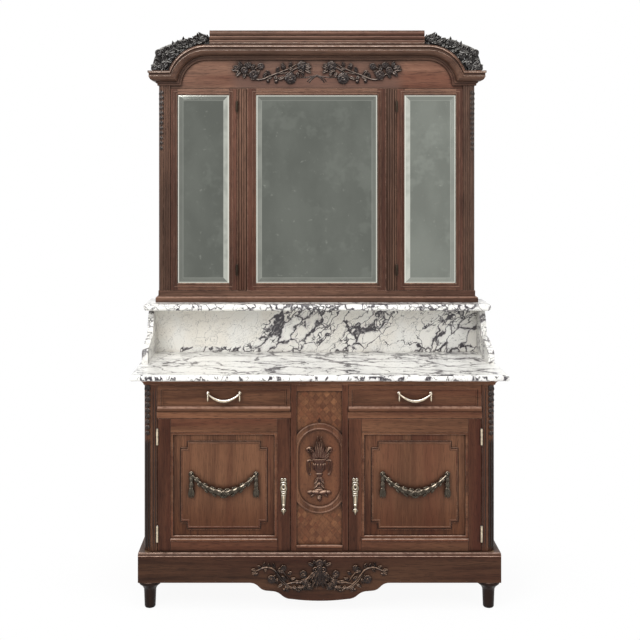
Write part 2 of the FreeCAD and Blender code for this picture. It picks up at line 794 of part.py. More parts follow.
def make_top_moulding():
    """A coved moulding in three mitred runs, which carries the marble."""
    projection = S.top_moulding_projection
    width = S.top_moulding_width
    front = [
        (FACE_Y + width, BODY_TOP_Z),
        (FACE_Y + width, MARBLE_Z),
        (FACE_Y - projection, MARBLE_Z),
        (FACE_Y - projection, MARBLE_Z - S.top_moulding_lip, S.top_moulding_height, RIGHT),
        (FACE_Y, BODY_TOP_Z),
    ]
    outer_x = -(BODY_HALF + projection)
    corner_y = FACE_Y - projection
    reach = width + projection
    run = extruded("moulding_front", "YZ_Plane", [front], outer_x,
                   (BODY_HALF + projection) * 2)
    left_cut = wedge("moulding_left_cut", outer_x, corner_y, reach, "front")
    right_cut = mirrored("moulding_right_cut", left_cut)
    cuts = fused("moulding_cuts", [left_cut, right_cut])
    front_run = cut("moulding_front_run", run, cuts)
    side = [(vertex[0] - FACE_Y - BODY_HALF, *vertex[1:]) for vertex in front]
    side_bar = extruded("moulding_side", "XZ_Plane", [side], BODY_BACK_Y,
                        BODY_BACK_Y - corner_y)
    side_cut = wedge("moulding_side_cut", outer_x, corner_y, reach, "side")
    side_run = cut("moulding_side_run", side_bar, side_cut)
    other_run = mirrored("moulding_other_run", side_run)
    node("top_moulding", group("top_moulding", [front_run, side_run, other_run]))


def wedge(name, x, y, reach, piece):
    """The prism that a mitre takes off the front or the side run at the left corner."""
    if piece == "front":
        outline = [(x, y), (as_size(x) + reach, as_size(y) + reach),
                   (x, as_size(y) + reach)]
    else:
        outline = [(x, y), (as_size(x) + reach, y),
                   (as_size(x) + reach, as_size(y) + reach)]
    return extruded(name, "XY_Plane", [outline], BODY_TOP_Z - S.top_moulding_height,
                    S.top_moulding_height * 3)


def make_centre():
    """The narrow centre bay: a frame, its panel, an oblong ring and an urn in relief."""
    outer = S.centre_half_width
    inner = outer - S.centre_stile_width
    frame_y = (FACE_Y, BEHIND_FACE_Y)
    low_z = FLOOR_Z + S.centre_rail_height
    high_z = BODY_TOP_Z - S.centre_rail_height
    stile = board("centre_stile", (-outer, -inner), frame_y, (FLOOR_Z, BODY_TOP_Z))
    other_stile = mirrored("centre_other_stile", stile)
    low_rail = board("centre_low_rail", (-inner, inner), frame_y, (FLOOR_Z, low_z))
    top_rail = board("centre_top_rail", (-inner, inner), frame_y, (high_z, BODY_TOP_Z))
    ledge = board("centre_ledge", (-inner, inner),
                  (FACE_Y - S.ledge_projection, FACE_Y),
                  (low_z - S.ledge_height, low_z))
    node("center_frame", group("center_frame", [
        stile, other_stile, low_rail, top_rail, ledge]))

    panel_y = FACE_Y + S.centre_panel_setback
    node("center_panel", board("center_panel", (-inner, inner),
                               (panel_y, panel_y + S.centre_panel_thickness),
                               (low_z, high_z)))

    middle = (FLOOR_Z + BODY_TOP_Z) / 2 + S.ring_lift_height
    low_centre = middle - S.ring_straight_length / 2
    high_centre = middle + S.ring_straight_length / 2
    hole = oblong(S.ring_inner_radius, low_centre, high_centre)
    front_ring = extruded("ring_front", "XZ_Plane",
                          [oblong(S.ring_outer_radius, low_centre, high_centre), hole],
                          FACE_Y, S.ring_projection)
    radius = S.ring_outer_radius
    rise = root(radius * radius - inner * inner)
    back_outline = [
        (-inner, low_centre - rise, radius, LEFT),
        (inner, low_centre - rise),
        (inner, high_centre + rise, radius, LEFT),
        (-inner, high_centre + rise),
    ]
    back_ring = extruded("ring_back", "XZ_Plane", [back_outline, hole], panel_y,
                         S.centre_panel_setback)
    node("medallion_ring", fused("medallion_ring", [front_ring, back_ring]))

    outline = carved_outline(URN_SHARES, S.urn_half_width, S.urn_height,
                             middle - S.urn_height / 2)
    node("urn_carving", extruded("urn_carving", "XZ_Plane", [outline], panel_y,
                                 S.urn_relief))


def oblong(radius, low_centre, high_centre):
    """A standing oblong with half-round ends, each end in two quarter turns."""
    return [
        (-radius, low_centre, radius, LEFT),
        (0, low_centre - radius, radius, LEFT),
        (radius, low_centre),
        (radius, high_centre, radius, LEFT),
        (0, high_centre + radius, radius, LEFT),
        (-radius, high_centre),
    ]


def make_doors():
    """A framed door with a fielded panel; the field has square notched corners."""
    outer = -POST_X + S.hinge_gap
    inner = -S.centre_half_width - S.hinge_gap
    low = DOOR_Z
    high = DOOR_TOP_Z
    frame_y = (FACE_Y, FACE_Y + S.door_thickness)
    open_x = (outer + S.door_stile_width, inner - S.door_stile_width)
    open_z = (low + S.door_bottom_rail_height, high - S.door_top_rail_height)
    frame = [
        board("door_outer_stile", (outer, open_x[0]), frame_y, (low, high)),
        board("door_inner_stile", (open_x[1], inner), frame_y, (low, high)),
        board("door_low_rail", open_x, frame_y, (low, open_z[0])),
        board("door_top_rail", open_x, frame_y, (open_z[1], high)),
    ]
    pair("door_{}_frame", group("door_left_frame", frame))

    panel_y = FACE_Y + S.door_panel_setback
    back_y = panel_y + S.door_panel_thickness
    plate = board("door_plate", open_x, (panel_y, back_y), open_z)
    field_x = (open_x[0] + S.field_margin, open_x[1] - S.field_margin)
    field_z = (open_z[0] + S.field_margin * 0.81, open_z[1] - S.field_margin * 0.87)
    field = extruded("door_field", "XZ_Plane", [notched(field_x, field_z)], panel_y,
                     S.field_rise)
    panel = fused("door_left_panel", [plate, field])
    pair("door_{}_panel", panel)

    bead_y = (panel_y - S.door_bead_depth, panel_y)
    width = S.door_bead_width
    beads = [
        board("door_outer_bead", (open_x[0], open_x[0] + width), bead_y, open_z),
        board("door_inner_bead", (open_x[1] - width, open_x[1]), bead_y, open_z),
        board("door_top_bead", (open_x[0] + width, open_x[1] - width), bead_y,
              (open_z[1] - width, open_z[1])),
        board("door_low_bead", (open_x[0] + width, open_x[1] - width), bead_y,
              (open_z[0], open_z[0] + width)),
        board("door_ledge", open_x, (FACE_Y - S.ledge_projection, FACE_Y),
              (open_z[0] - S.ledge_height, open_z[0])),
    ]
    pair("door_{}_moulding", group("door_left_moulding", beads))

    middle_x = (open_x[0] + open_x[1]) / 2
    swag = garland("door_left_swag", middle_x, panel_y - S.field_rise,
                   DOOR_MIDDLE_Z + S.door_swag_lift_height,
                   S.door_swag_half_span, S.door_swag_sag, S.door_swag_middle_radius,
                   S.door_swag_end_radius, S.door_swag_drop, S.swag_stud_radius,
                   S.swag_standoff)
    pair("door_{}_swag", swag)

    escutcheon = make_escutcheon((open_x[1] + inner) / 2)
    pair("door_{}_escutcheon", escutcheon)
    make_lock(inner)


def notched(x_range, z_range):
    """A rectangle with a square notch in each corner."""
    x0, x1 = x_range
    z0, z1 = z_range
    n = S.field_notch
    return [
        (x0 + n, z0), (x1 - n, z0), (x1 - n, z0 + n), (x1, z0 + n),
        (x1, z1 - n), (x1 - n, z1 - n), (x1 - n, z1), (x0 + n, z1),
        (x0 + n, z1 - n), (x0, z1 - n), (x0, z0 + n), (x0 + n, z0 + n),
    ]


def garland(name, x, back_y, stud_z, half_span, sag, middle_radius, end_radius, drop,
            stud_radius, standoff):
    """A hanging garland between two studs, thick in the middle, with a drop at each end.
    At share t of its half span it hangs sag * (1 - t * t) below the studs, and its
    sections are polygons, as a carver first cuts them."""
    y = float(back_y - standoff - middle_radius)
    span = float(half_span)
    width = FreeCAD.Vector(1, 0, 0)
    depth = FreeCAD.Vector(0, 1, 0)
    height = FreeCAD.Vector(0, 0, 1)
    rings = []
    for share in SWAG_SECTION_SHARES:
        fullness = 1 - share * share
        middle = FreeCAD.Vector(float(x) + share * span, y,
                                float(stud_z) - float(sag) * fullness)
        across = FreeCAD.Vector(-2 * float(sag) * share, 0, span).normalize()
        radius = float(end_radius) + (float(middle_radius) - float(end_radius)) * fullness
        rings.append(polygon(middle, radius, across, depth, SWAG_SIDES))
    solids = [skinned(rings)]
    for side in (-1, 1):
        stud_x = float(x) + side * span
        back = FreeCAD.Vector(stud_x, float(back_y), float(stud_z))
        front = FreeCAD.Vector(stud_x, y - float(end_radius), float(stud_z))
        solids.append(skinned([polygon(end, float(stud_radius), width, height, ROD_SIDES)
                               for end in (back, front)]))
        top = FreeCAD.Vector(stud_x, y, float(stud_z))
        solids.append(skinned([
            polygon(top - height * (float(drop) * down), float(end_radius) * wide,
                    width, depth, SWAG_SIDES)
            for down, wide in DROP_SHARES]))
    thing = DOC.addObject("Part::Feature", name)
    thing.Shape = solids[0].fuse(solids[1:])
    return thing


def polygon(middle, radius, across, along, sides):
    """The corners of a regular polygon in the plane of two directions."""
    turns = [math.pi * 2 * (n + 0.5) / sides for n in range(sides)]
    return [middle + radius * (math.cos(turn) * across + math.sin(turn) * along)
            for turn in turns]


def skinned(rings):
    """A closed solid with flat faces through rings that have as many points each."""
    faces = [Part.Face(Part.makePolygon([*rings[0], rings[0][0]])),
             Part.Face(Part.makePolygon([*rings[-1], rings[-1][0]]))]
    for here, there in zip(rings, rings[1:]):
        for n, corner in enumerate(here):
            m = (n + 1) % len(here)
            for a, b, c in ((corner, here[m], there[n]), (here[m], there[m], there[n])):
                faces.append(Part.Face(Part.makePolygon([a, b, c, a])))
    solid = Part.Solid(Part.Shell(faces))
    if solid.Volume < 0:
        solid.reverse()
    return solid


def make_escutcheon(x):
    """A pierced plate round the keyhole."""
    half_width = S.escutcheon_width / 2
    half = [(-half_width * across if across else 0, S.escutcheon_length * up, bend)
            for across, up, bend in ESCUTCHEON_SHARES]
    key_z = S.escutcheon_length * KEYHOLE_SHARE
    slot = S.keyhole_radius / 2
    eye = S.keyhole_radius
    rise = root(eye * eye - slot * slot)
    low = key_z - S.keyhole_length
    hole = [
        (-slot, low),
        (slot, low),
        (slot, key_z - rise, eye, LEFT),
        (eye, key_z, eye, LEFT),
        (0, key_z + eye, eye, LEFT),
        (-eye, key_z, eye, LEFT),
        (-slot, key_z - rise),
    ]
    plate = extruded("door_left_escutcheon", "XZ_Plane",
                     [symmetric(bent(half)), hole], 0, S.escutcheon_thickness)
    return place(plate, x, FACE_Y, KEYHOLE_Z - key_z)


def make_lock(inner):
    """A lock case on the back of the stile, and the bolt that slides in it."""
    y = BEHIND_FACE_Y
    z = KEYHOLE_Z
    case_z = (z - S.lock_height / 2, z + S.lock_height / 2)
    case = board("lock_case", (inner - S.lock_width, inner),
                 (y, y + S.lock_thickness), case_z)
    middle_y = y + S.lock_thickness / 2
    gap = S.touch_gap
    half_y = S.bolt_thickness / 2
    half_z = S.bolt_height / 2
    channel_start = inner - S.bolt_length - S.bolt_travel
    channel = board("lock_channel", (channel_start, inner),
                    (middle_y - half_y - gap, middle_y + half_y + gap),
                    (z - half_z - gap, z + half_z + gap))
    pair("door_{}_lock", cut("door_left_lock", case, channel))
    bolt = board("lock_bolt_left",
                 (inner - S.bolt_length - S.touch_gap, inner - S.touch_gap),
                 (middle_y - half_y, middle_y + half_y), (z - half_z, z + half_z))
    pair("lock_bolt_{}", bolt)


def hinge(name, x, y, low, height, depth, moving_side):
    """The fixed and the moving half of a lift-off hinge. Its pin stands at (x, y), in front
    of the face, in the lower, fixed knuckle, and the upper knuckle turns on it. The moving
    leaf lies on the side of the pin that moving_side names."""
    reach = S.knuckle_radius + S.touch_gap
    inside = (S.hinge_gap - S.hinge_leaf_thickness * 2) / 2
    outside = S.hinge_gap / 2
    gap = S.touch_gap / 2
    middle = low + height / 2
    fixed_span = (low, middle - gap)
    moving_span = (middle + gap, low + height)

    def leaf(tag, side, z_range, y_range):
        x_range = (x + inside, x + outside) if side > 0 else (x - outside, x - inside)
        return board(f"{name}_{tag}", x_range, y_range, z_range)

    def knuckle(tag, span):
        return rod(f"{name}_{tag}", S.knuckle_radius, span[1] - span[0], x, y, span[0])

    plate_y = (y + reach, y + reach + depth)
    tongue_y = (y, y + reach)
    whole = (low, low + height)
    fixed = [leaf("fixed_plate", -moving_side, whole, plate_y),
             leaf("fixed_tongue", -moving_side, fixed_span, tongue_y),
             knuckle("fixed_knuckle", fixed_span),
             rod(f"{name}_pin", S.pin_radius, height, x, y, low)]
    solid = fused(f"{name}_moving_solid", [
        leaf("moving_plate", moving_side, whole, plate_y),
        leaf("moving_tongue", moving_side, moving_span, tongue_y),
        knuckle("moving_knuckle", moving_span)])
    bore = rod(f"{name}_bore", (S.pin_radius + S.pin_clearance) * BORE_SHARE, height,
               x, y, low)
    return fused(f"{name}_fixed", fixed), cut(f"{name}_moving", solid, bore)


def make_hinges():
    """Two hinges on each door and two on each wing of the mirror."""
    door_x = -POST_X + S.hinge_gap / 2
    door_y = FACE_Y - S.knuckle_radius - S.touch_gap
    wing_x = -MULLION_X - S.hinge_gap / 2
    wing_y = MIRROR_Y - S.knuckle_radius - S.touch_gap
    fixed = []
    doors = []
    wings = []
    door_feet = (DOOR_Z + S.door_hinge_low_inset,
                 DOOR_TOP_Z - S.door_hinge_high_inset - S.door_hinge_height)
    for n, low in enumerate(door_feet):
        still, moving = hinge(f"door_hinge_{n}", door_x, door_y, low,
                              S.door_hinge_height, S.door_hinge_leaf_depth, 1)
        fixed.append(still)
        doors.append(moving)
    wing_feet = (MIRROR_Z + S.wing_hinge_low_inset,
                 MIRROR_TOP_Z - S.wing_hinge_high_inset - S.wing_hinge_height)
    for n, low in enumerate(wing_feet):
        still, moving = hinge(f"wing_hinge_{n}", wing_x, wing_y, low,
                              S.wing_hinge_height, S.wing_hinge_leaf_depth, -1)
        fixed.append(still)
        wings.append(moving)
    node("fixed_hinge_leaves", both_sides("fixed_hinge_leaves", fixed))
    pair("door_{}_hinge_leaves", group("door_left_hinge_leaves", doors))
    pair("wing_{}_hinge_leaves", group("wing_left_hinge_leaves", wings))


def make_drawers():
    """A drawer above each door, with a recessed front and a rounded ledge below it."""
    outer = -POST_X + S.leaf_gap
    inner = -S.centre_half_width - S.leaf_gap
    low = DRAWER_Z + S.leaf_gap
    high = BODY_TOP_Z - S.leaf_gap
    thickness = S.drawer_front_thickness
    back_y = FACE_Y + thickness
    slab = board("drawer_slab", (outer, inner), (FACE_Y, back_y), (low, high))
    recess = board("drawer_recess",
                   (outer + S.drawer_recess_side, inner - S.drawer_recess_side),
                   (FACE_Y - S.drawer_recess_depth, FACE_Y + S.drawer_recess_depth),
                   (low + S.drawer_ledge_height, high - S.drawer_recess_top))
    front = cut("drawer_recessed", slab, recess)
    bulge = S.drawer_ledge_projection
    half = S.drawer_ledge_height / 2
    radius = (bulge * bulge + half * half) / (bulge * 2)
    ledge_section = [
        (FACE_Y, low + S.drawer_ledge_height, radius, LEFT),
        (FACE_Y, low),
    ]
    ledge = extruded("drawer_ledge", "YZ_Plane", [ledge_section], outer, inner - outer)
    pair("drawer_{}_front", fused("drawer_left_front", [front, ledge]))

    box_outer = outer + S.drawer_side_clearance
    box_inner = inner - S.drawer_side_clearance
    wall = S.drawer_side_thickness
    side_low = DRAWER_Z + S.touch_gap
    side_z = (side_low, side_low + S.drawer_side_height)
    end_y = INNER_BACK_Y - S.drawer_back_clearance
    bottom_z = side_low + S.drawer_bottom_lift
    inside_x = (box_outer + wall, box_inner - wall)
    box = [
        board("drawer_outer_side", (box_outer, box_outer + wall), (back_y, end_y), side_z),
        board("drawer_inner_side", (box_inner - wall, box_inner), (back_y, end_y), side_z),
        board("drawer_back", inside_x, (end_y - wall, end_y), side_z),
        board("drawer_bottom", inside_x, (back_y, end_y - wall),
              (bottom_z, bottom_z + S.drawer_bottom_thickness)),
    ]
    pair("drawer_{}_box", group("drawer_left_box", box))

    pull = garland("drawer_left_pull", (outer + inner) / 2,
                   FACE_Y + S.drawer_recess_depth, low + S.pull_height,
                   S.pull_half_span, S.pull_sag, S.pull_middle_radius, S.pull_end_radius,
                   S.pull_drop, S.pull_stud_radius, S.pull_standoff)
    pair("drawer_{}_pull", pull)


def make_marble():
    """The slab, the upstand behind it, two shaped cheeks and the shelf they carry."""
    top = extruded("marble_top", "XY_Plane",
                   [rectangle((-HALF_WIDTH, HALF_WIDTH), (FRONT_Y, BACK_Y))],
                   MARBLE_Z, S.marble_thickness)
    rounded(top, S.marble_edge_radius,
            lambda edge: (lies_at(edge, "Z", 0) or lies_at(edge, "Z", S.marble_thickness))
            and not lies_at(edge, "Y", BACK_Y))
    node("marble_top", top)

    cheek_x = HALF_WIDTH - S.bracket_inset
    node("splashback", board("splashback", (-cheek_x, cheek_x),
                             (SPLASH_Y, SPLASH_Y + S.splash_thickness),
                             (S.marble_height, SHELF_Z)))
    base = S.marble_height
    round_radius = S.marble_edge_radius
    cheek_section = [
        (SPLASH_Y, base),
        (SPLASH_Y, SHELF_Z),
        (SPLASH_Y - S.bracket_top_length, SHELF_Z, S.bracket_curve_radius, LEFT),
        (SPLASH_Y - S.bracket_neck_length, base + S.bracket_neck_height),
        (SPLASH_Y - S.bracket_step_length, base + S.bracket_step_height),
        (SPLASH_Y - S.bracket_foot_length + round_radius,
         base + S.bracket_foot_height + round_radius * 0.3, round_radius, LEFT),
        (SPLASH_Y - S.bracket_foot_length, base + S.bracket_foot_height - round_radius),
        (SPLASH_Y - S.bracket_foot_length, base),
    ]
    cheek = extruded("marble_bracket", "YZ_Plane", [cheek_section], -cheek_x,
                     S.bracket_thickness)
    node("marble_brackets", both_sides("marble_brackets", [cheek]))

    corner = S.shelf_corner_radius
    shelf_front = BACK_Y - S.shelf_depth
    outline = [
        (-HALF_WIDTH, BACK_Y),
        (-HALF_WIDTH, shelf_front + corner, corner, LEFT),
        (-HALF_WIDTH + corner, shelf_front),
        (HALF_WIDTH - corner, shelf_front, corner, LEFT),
        (HALF_WIDTH, shelf_front + corner),
        (HALF_WIDTH, BACK_Y),
    ]
    shelf = extruded("marble_shelf", "XY_Plane", [outline], SHELF_Z, S.shelf_thickness)
    rounded(shelf, S.shelf_edge_radius,
            lambda edge: (lies_at(edge, "Z", 0) or lies_at(edge, "Z", S.shelf_thickness))
            and not lies_at(edge, "Y", BACK_Y))
    node("marble_shelf", shelf)


def make_mirror_frame():
    """The base rail, the outer posts, the fluted mullions and the board behind."""
    foot_half = MIRROR_HALF + S.mirror_foot_projection
    foot_y = MIRROR_Y - S.mirror_foot_projection
    foot_top = SHELF_TOP_Z + S.mirror_foot_height
    foot = extruded("mirror_foot", "XY_Plane",
                    [rectangle((-foot_half, foot_half), (foot_y, BODY_BACK_Y))],
                    SHELF_TOP_Z, S.mirror_foot_height)
    rounded(foot, S.mirror_foot_round,
            lambda edge: lies_at(edge, "Z", S.mirror_foot_height)
            and not lies_at(edge, "Y", BODY_BACK_Y))
    rail = board("mirror_base_rail", (-MIRROR_HALF, MIRROR_HALF), (MIRROR_Y, BODY_BACK_Y),
                 (foot_top, MIRROR_Z))
    node("mirror_base", group("mirror_base", [foot, rail]))

    corner = S.mirror_post_round
    reed = (S.mirror_post_width - corner) / 3
    depth = S.mirror_post_reed_depth
    radius = (reed * reed / 4 + depth * depth) / (depth * 2)
    section = [
        (-MIRROR_POST_X, BODY_BACK_Y),
        (-MIRROR_HALF, BODY_BACK_Y),
        (-MIRROR_HALF, MIRROR_Y + corner, corner, LEFT),
        (-MIRROR_HALF + corner, MIRROR_Y),
    ]
    for n in range(3):
        start = -MIRROR_HALF + corner + reed * n
        section.append((start, MIRROR_Y + depth, radius, LEFT))
    section.append((-MIRROR_POST_X, MIRROR_Y + depth))
    post = extruded("mirror_post", "XY_Plane", [section], MIRROR_Z, ARCH_Z - MIRROR_Z)
    node("mirror_posts", both_sides("mirror_posts", [post]))

    inner = -S.centre_mirror_half_width
    width = S.mullion_width
    flute = S.flute_radius
    land = (width - flute * 6) / 4
    section = [(inner, MIRROR_BACK_Y), (-MULLION_X, MIRROR_BACK_Y), (-MULLION_X, MIRROR_Y)]
    for n in range(3):
        start = -MULLION_X + land + (flute * 2 + land) * n
        section.append((start, MIRROR_Y, flute * 1.2, RIGHT))
        section.append((start + flute * 2, MIRROR_Y))
    section.append((inner, MIRROR_Y))
    mullion = extruded("mirror_mullion", "XY_Plane", [section], MIRROR_Z,
                       S.mirror_opening_height)
    node("mirror_mullions", both_sides("mirror_mullions", [mullion]))

    node("mirror_backboard", board("mirror_backboard", (-MIRROR_POST_X, MIRROR_POST_X),
                                   (MIRROR_BACK_Y, MIRROR_BACK_Y + S.mirror_back_thickness),
                                   (MIRROR_Z, ARCH_Z)))


def bevelled_glass(name, x_range, z_range):
    """A mirror plate whose front has a flat bevel along all four edges."""
    front_y = MIRROR_Y + S.glass_setback
    middle_y = front_y + S.glass_bevel_depth
    plate = board(f"{name}_plate", x_range, (middle_y, middle_y + S.glass_thickness),
                  z_range)
    face = DOC.addObject("Part::Wedge", f"{name}_face")
    width = as_size(x_range[1]) - x_range[0]
    height = as_size(z_range[1]) - z_range[0]
    for prop, size in (
            ("Xmin", S.glass_bevel_width), ("Xmax", width - S.glass_bevel_width),
            ("Zmin", S.glass_bevel_height), ("Zmax", height - S.glass_bevel_height),
            ("Ymax", S.glass_bevel_depth), ("X2max", width), ("Z2max", height)):
        bind(face, prop, size)
    face.Ymin = 0
    face.X2min = 0
    face.Z2min = 0
    place(face, x_range[0], front_y, z_range[0])
    return fused(name, [plate, face])


def frame_boards(name, x_range, z_range, open_x, open_z, thickness):
    """Two stiles and two rails round an opening."""
    y_range = (MIRROR_Y, MIRROR_Y + thickness)
    return [
        board(f"{name}_left_stile", (x_range[0], open_x[0]), y_range, z_range),
        board(f"{name}_right_stile", (open_x[1], x_range[1]), y_range, z_range),
        board(f"{name}_low_rail", open_x, y_range, (z_range[0], open_z[0])),
        board(f"{name}_top_rail", open_x, y_range, (open_z[1], z_range[1])),
    ]


def make_mirrors():
    """The fixed middle mirror and the left-hand wing, which hinges beside it."""
    half = S.centre_mirror_half_width
    open_half = half - S.centre_mirror_stile
    z_range = (MIRROR_Z, MIRROR_TOP_Z)
    open_z = (MIRROR_Z + S.mirror_rail_height, MIRROR_TOP_Z - S.mirror_top_rail_height)
    frame = frame_boards("centre_mirror", (-half, half), z_range,
                         (-open_half, open_half), open_z, S.mirror_back_setback)
    node("center_mirror_frame", group("center_mirror_frame", frame))
    node("center_glass", bevelled_glass("center_glass", (-open_half, open_half), open_z))

    outer = -MIRROR_POST_X + S.leaf_gap
    inner = -MULLION_X - S.hinge_gap
    open_x = (outer + S.wing_outer_stile, inner - S.wing_inner_stile)
    wing_z = (MIRROR_Z + S.leaf_gap, MIRROR_TOP_Z - S.leaf_gap)
    wing = frame_boards("wing", (outer, inner), wing_z, open_x, open_z,
                        S.wing_frame_thickness)
    back_y = MIRROR_Y + S.wing_frame_thickness
    wing.append(board("wing_backing", open_x,
                      (back_y - S.mirror_backing_thickness, back_y), open_z))
    pair("wing_{}_frame", group("wing_left_frame", wing))
    pair("wing_{}_glass", bevelled_glass("wing_left_glass", open_x, open_z))


def arch_edge(offset):
    """The left half of a line that follows the arch at a distance above its inner edge:
    the level return, the shoulder's arc and the level top, from outside to the middle."""
    radius = S.arch_radius + offset
    reach = root(radius * radius - as_size(offset) * offset)
    level = ARCH_Z + offset
    shoulder_x = -(ARCH_CENTRE_X + reach)
    return level, shoulder_x, radius, ARCH_Z + radius


def arch_layer(name, low, high, projection, round_radius=None):
    """One layer of the cornice, from the offset low to the offset high. round_radius
    rounds its lower front edge and the lower edges of its ends."""
    end_x = -(MIRROR_HALF + projection)
    low_level, low_x, low_radius, low_top = arch_edge(low)
    high_level, high_x, high_radius, high_top = arch_edge(high)
    centre = ARCH_CENTRE_X
    outline = [
        (end_x, low_level),
        (low_x, low_level, low_radius, RIGHT),
        (-centre, low_top),
        (centre, low_top, low_radius, RIGHT),
        (-low_x, low_level),
        (-end_x, low_level),
        (-end_x, high_level),
        (-high_x, high_level, high_radius, LEFT),
        (centre, high_top),
        (-centre, high_top, high_radius, LEFT),
        (high_x, high_level),
        (end_x, high_level),
    ]
    depth = BODY_BACK_Y - MIRROR_Y + projection
    layer = extruded(name, "XZ_Plane", [outline], BODY_BACK_Y, depth)
    if not round_radius:
        return layer

    def below(edge):
        at_front = lies_at(edge, "Y", -depth)
        radius = getattr(edge.Curve, "Radius", None)
        if radius is not None:
            return at_front and abs(radius - float(low_radius)) < SAME_PLACE
        at_side = lies_at(edge, "X", end_x) or lies_at(edge, "X", -end_x)
        level = lies_at(edge, "Z", low_level)
        return level and (at_front or at_side) or at_front and lies_at(edge, "Z", low_top)

    return rounded(layer, round_radius, below)


def make_head():
    """The frieze board, the arched cornice round it and the reeded crown on top."""
    board_y = MIRROR_Y + S.frieze_setback
    centre = ARCH_CENTRE_X
    radius = S.arch_radius
    outline = [
        (-MIRROR_POST_X, MIRROR_TOP_Z),
        (MIRROR_POST_X, MIRROR_TOP_Z),
        (MIRROR_POST_X, ARCH_Z),
        (centre + radius, ARCH_Z, radius, LEFT),
        (centre, ARCH_Z + radius),
        (-centre, ARCH_Z + radius, radius, LEFT),
        (-centre - radius, ARCH_Z),
        (-MIRROR_POST_X, ARCH_Z),
    ]
    node("frieze_board", extruded("frieze_board", "XZ_Plane", [outline], MIRROR_BACK_Y,
                                  S.mirror_back_setback - S.frieze_setback))

    one = S.fillet_one_height
    two = one + S.fillet_two_height
    three = two + S.ovolo_height
    layers = [
        arch_layer("fillet_one", as_size(0), one, S.fillet_one_projection),
        arch_layer("fillet_two", one, two, S.fillet_two_projection),
        arch_layer("ovolo", two, three, S.ovolo_projection, S.ovolo_radius),
        arch_layer("cap", three, three + S.cap_height, S.cap_projection),
    ]
    crown_low = ARCH_Z + radius + BAND_HEIGHT
    crown_y = MIRROR_Y - S.crown_projection
    reed = S.reed_radius
    crown_top = crown_low + S.crown_height
    margin = (S.crown_height - reed * 6) / 2
    section = [
        (BODY_BACK_Y, crown_low),
        (BODY_BACK_Y, crown_top),
        (crown_y, crown_top),
    ]
    for n in range(3):
        start = crown_top - margin - reed * 2 * n
        section.append((crown_y, start, reed * 1.05, LEFT))
    section.append((crown_y, crown_low + margin))
    section.append((crown_y, crown_low))
    crown = extruded("crown", "YZ_Plane", [section], -CROWN_HALF,
                     CROWN_HALF * 2)
    node("cornice", group("cornice", layers + [crown]))

    clear = BAND_HEIGHT + S.touch_gap
    level, shoulder_x, arc_radius, top = arch_edge(clear)
    inner_x = -CROWN_HALF - S.touch_gap
    span = MIRROR_HALF + S.cap_projection - CROWN_HALF
    edge = [(inner_x - span * across, level + S.corner_carving_rise * up, bend)
            for across, up, bend in CORNER_CARVING_SHARES]
    outline = bent(edge) + [
        (inner_x, top),
        (-centre, top, arc_radius, LEFT),
        (shoulder_x, level),
    ]
    carving = extruded("corner_carving", "XZ_Plane", [outline],
                       MIRROR_Y, S.corner_carving_thickness)
    node("corner_carvings", both_sides("corner_carvings", [carving]))

    outline = carved_outline(FRIEZE_CARVING_SHARES, S.frieze_carving_half_width,
                             S.frieze_carving_height, ARCH_Z + S.fillet_two_height)
    node("frieze_carving", extruded("frieze_carving", "XZ_Plane", [outline], board_y,
                                    S.frieze_carving_relief))


def check_document():
    """Stops if any object failed or any piece has no valid shape."""
    DOC.recompute()
    for thing in DOC.Objects:
        if {"Invalid", "Error"} & set(thing.State):
            raise RuntimeError(f"{thing.Name} failed: {thing.State}")
    for thing in NODES:
        shape = thing.Shape
        if shape.isNull() or not shape.isValid() or not shape.Solids:
            raise RuntimeError(f"{thing.Label} has no valid shape")


def write_nodes():
    os.makedirs("parts", exist_ok=True)
    for thing in NODES:
        thing.Shape.exportStep(f"parts/{thing.Label}.step")


def main():
    make_feet()
    make_plinth()
    make_posts()
    make_sides_and_back()
    make_inside()
    make_top_moulding()
    make_centre()
    make_doors()
    make_hinges()
    make_drawers()
    make_marble()
    make_mirror_frame()
    make_mirrors()
    make_head()
    check_document()
    write_nodes()
    print(f"{len(NODES)} pieces")


main()
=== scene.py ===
"""The looks of a tall walnut washstand with a marble top and three bevelled mirrors."""

import math

import bmesh
import bpy
import numpy as np
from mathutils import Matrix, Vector


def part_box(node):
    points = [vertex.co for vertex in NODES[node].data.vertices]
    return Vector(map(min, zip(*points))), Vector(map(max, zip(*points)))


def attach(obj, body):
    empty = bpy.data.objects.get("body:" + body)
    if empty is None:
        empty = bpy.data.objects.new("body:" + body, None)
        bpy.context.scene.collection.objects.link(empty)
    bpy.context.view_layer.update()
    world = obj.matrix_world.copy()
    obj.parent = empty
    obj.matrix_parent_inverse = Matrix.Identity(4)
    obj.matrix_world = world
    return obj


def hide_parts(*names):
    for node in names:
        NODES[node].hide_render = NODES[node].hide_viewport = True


bl_info = {
    "name": "Walnut washstand",
    "version": (1, 0, 0),
    "blender": (4, 5, 0),
    "location": "3D View > Sidebar > Washstand",
    "description": "Carvings, mouldings, metalwork and finishes of a washstand",
    "category": "Object",
}

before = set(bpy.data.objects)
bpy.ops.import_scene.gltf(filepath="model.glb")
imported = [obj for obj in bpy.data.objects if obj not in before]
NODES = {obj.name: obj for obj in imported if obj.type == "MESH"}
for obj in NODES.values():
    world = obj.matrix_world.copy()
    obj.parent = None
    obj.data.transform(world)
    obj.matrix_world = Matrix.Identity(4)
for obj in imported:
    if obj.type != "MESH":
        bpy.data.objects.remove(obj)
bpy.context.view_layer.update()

MM = 0.001
SIDES = ("left", "right")
HALVES = (("left", -1), ("right", 1))

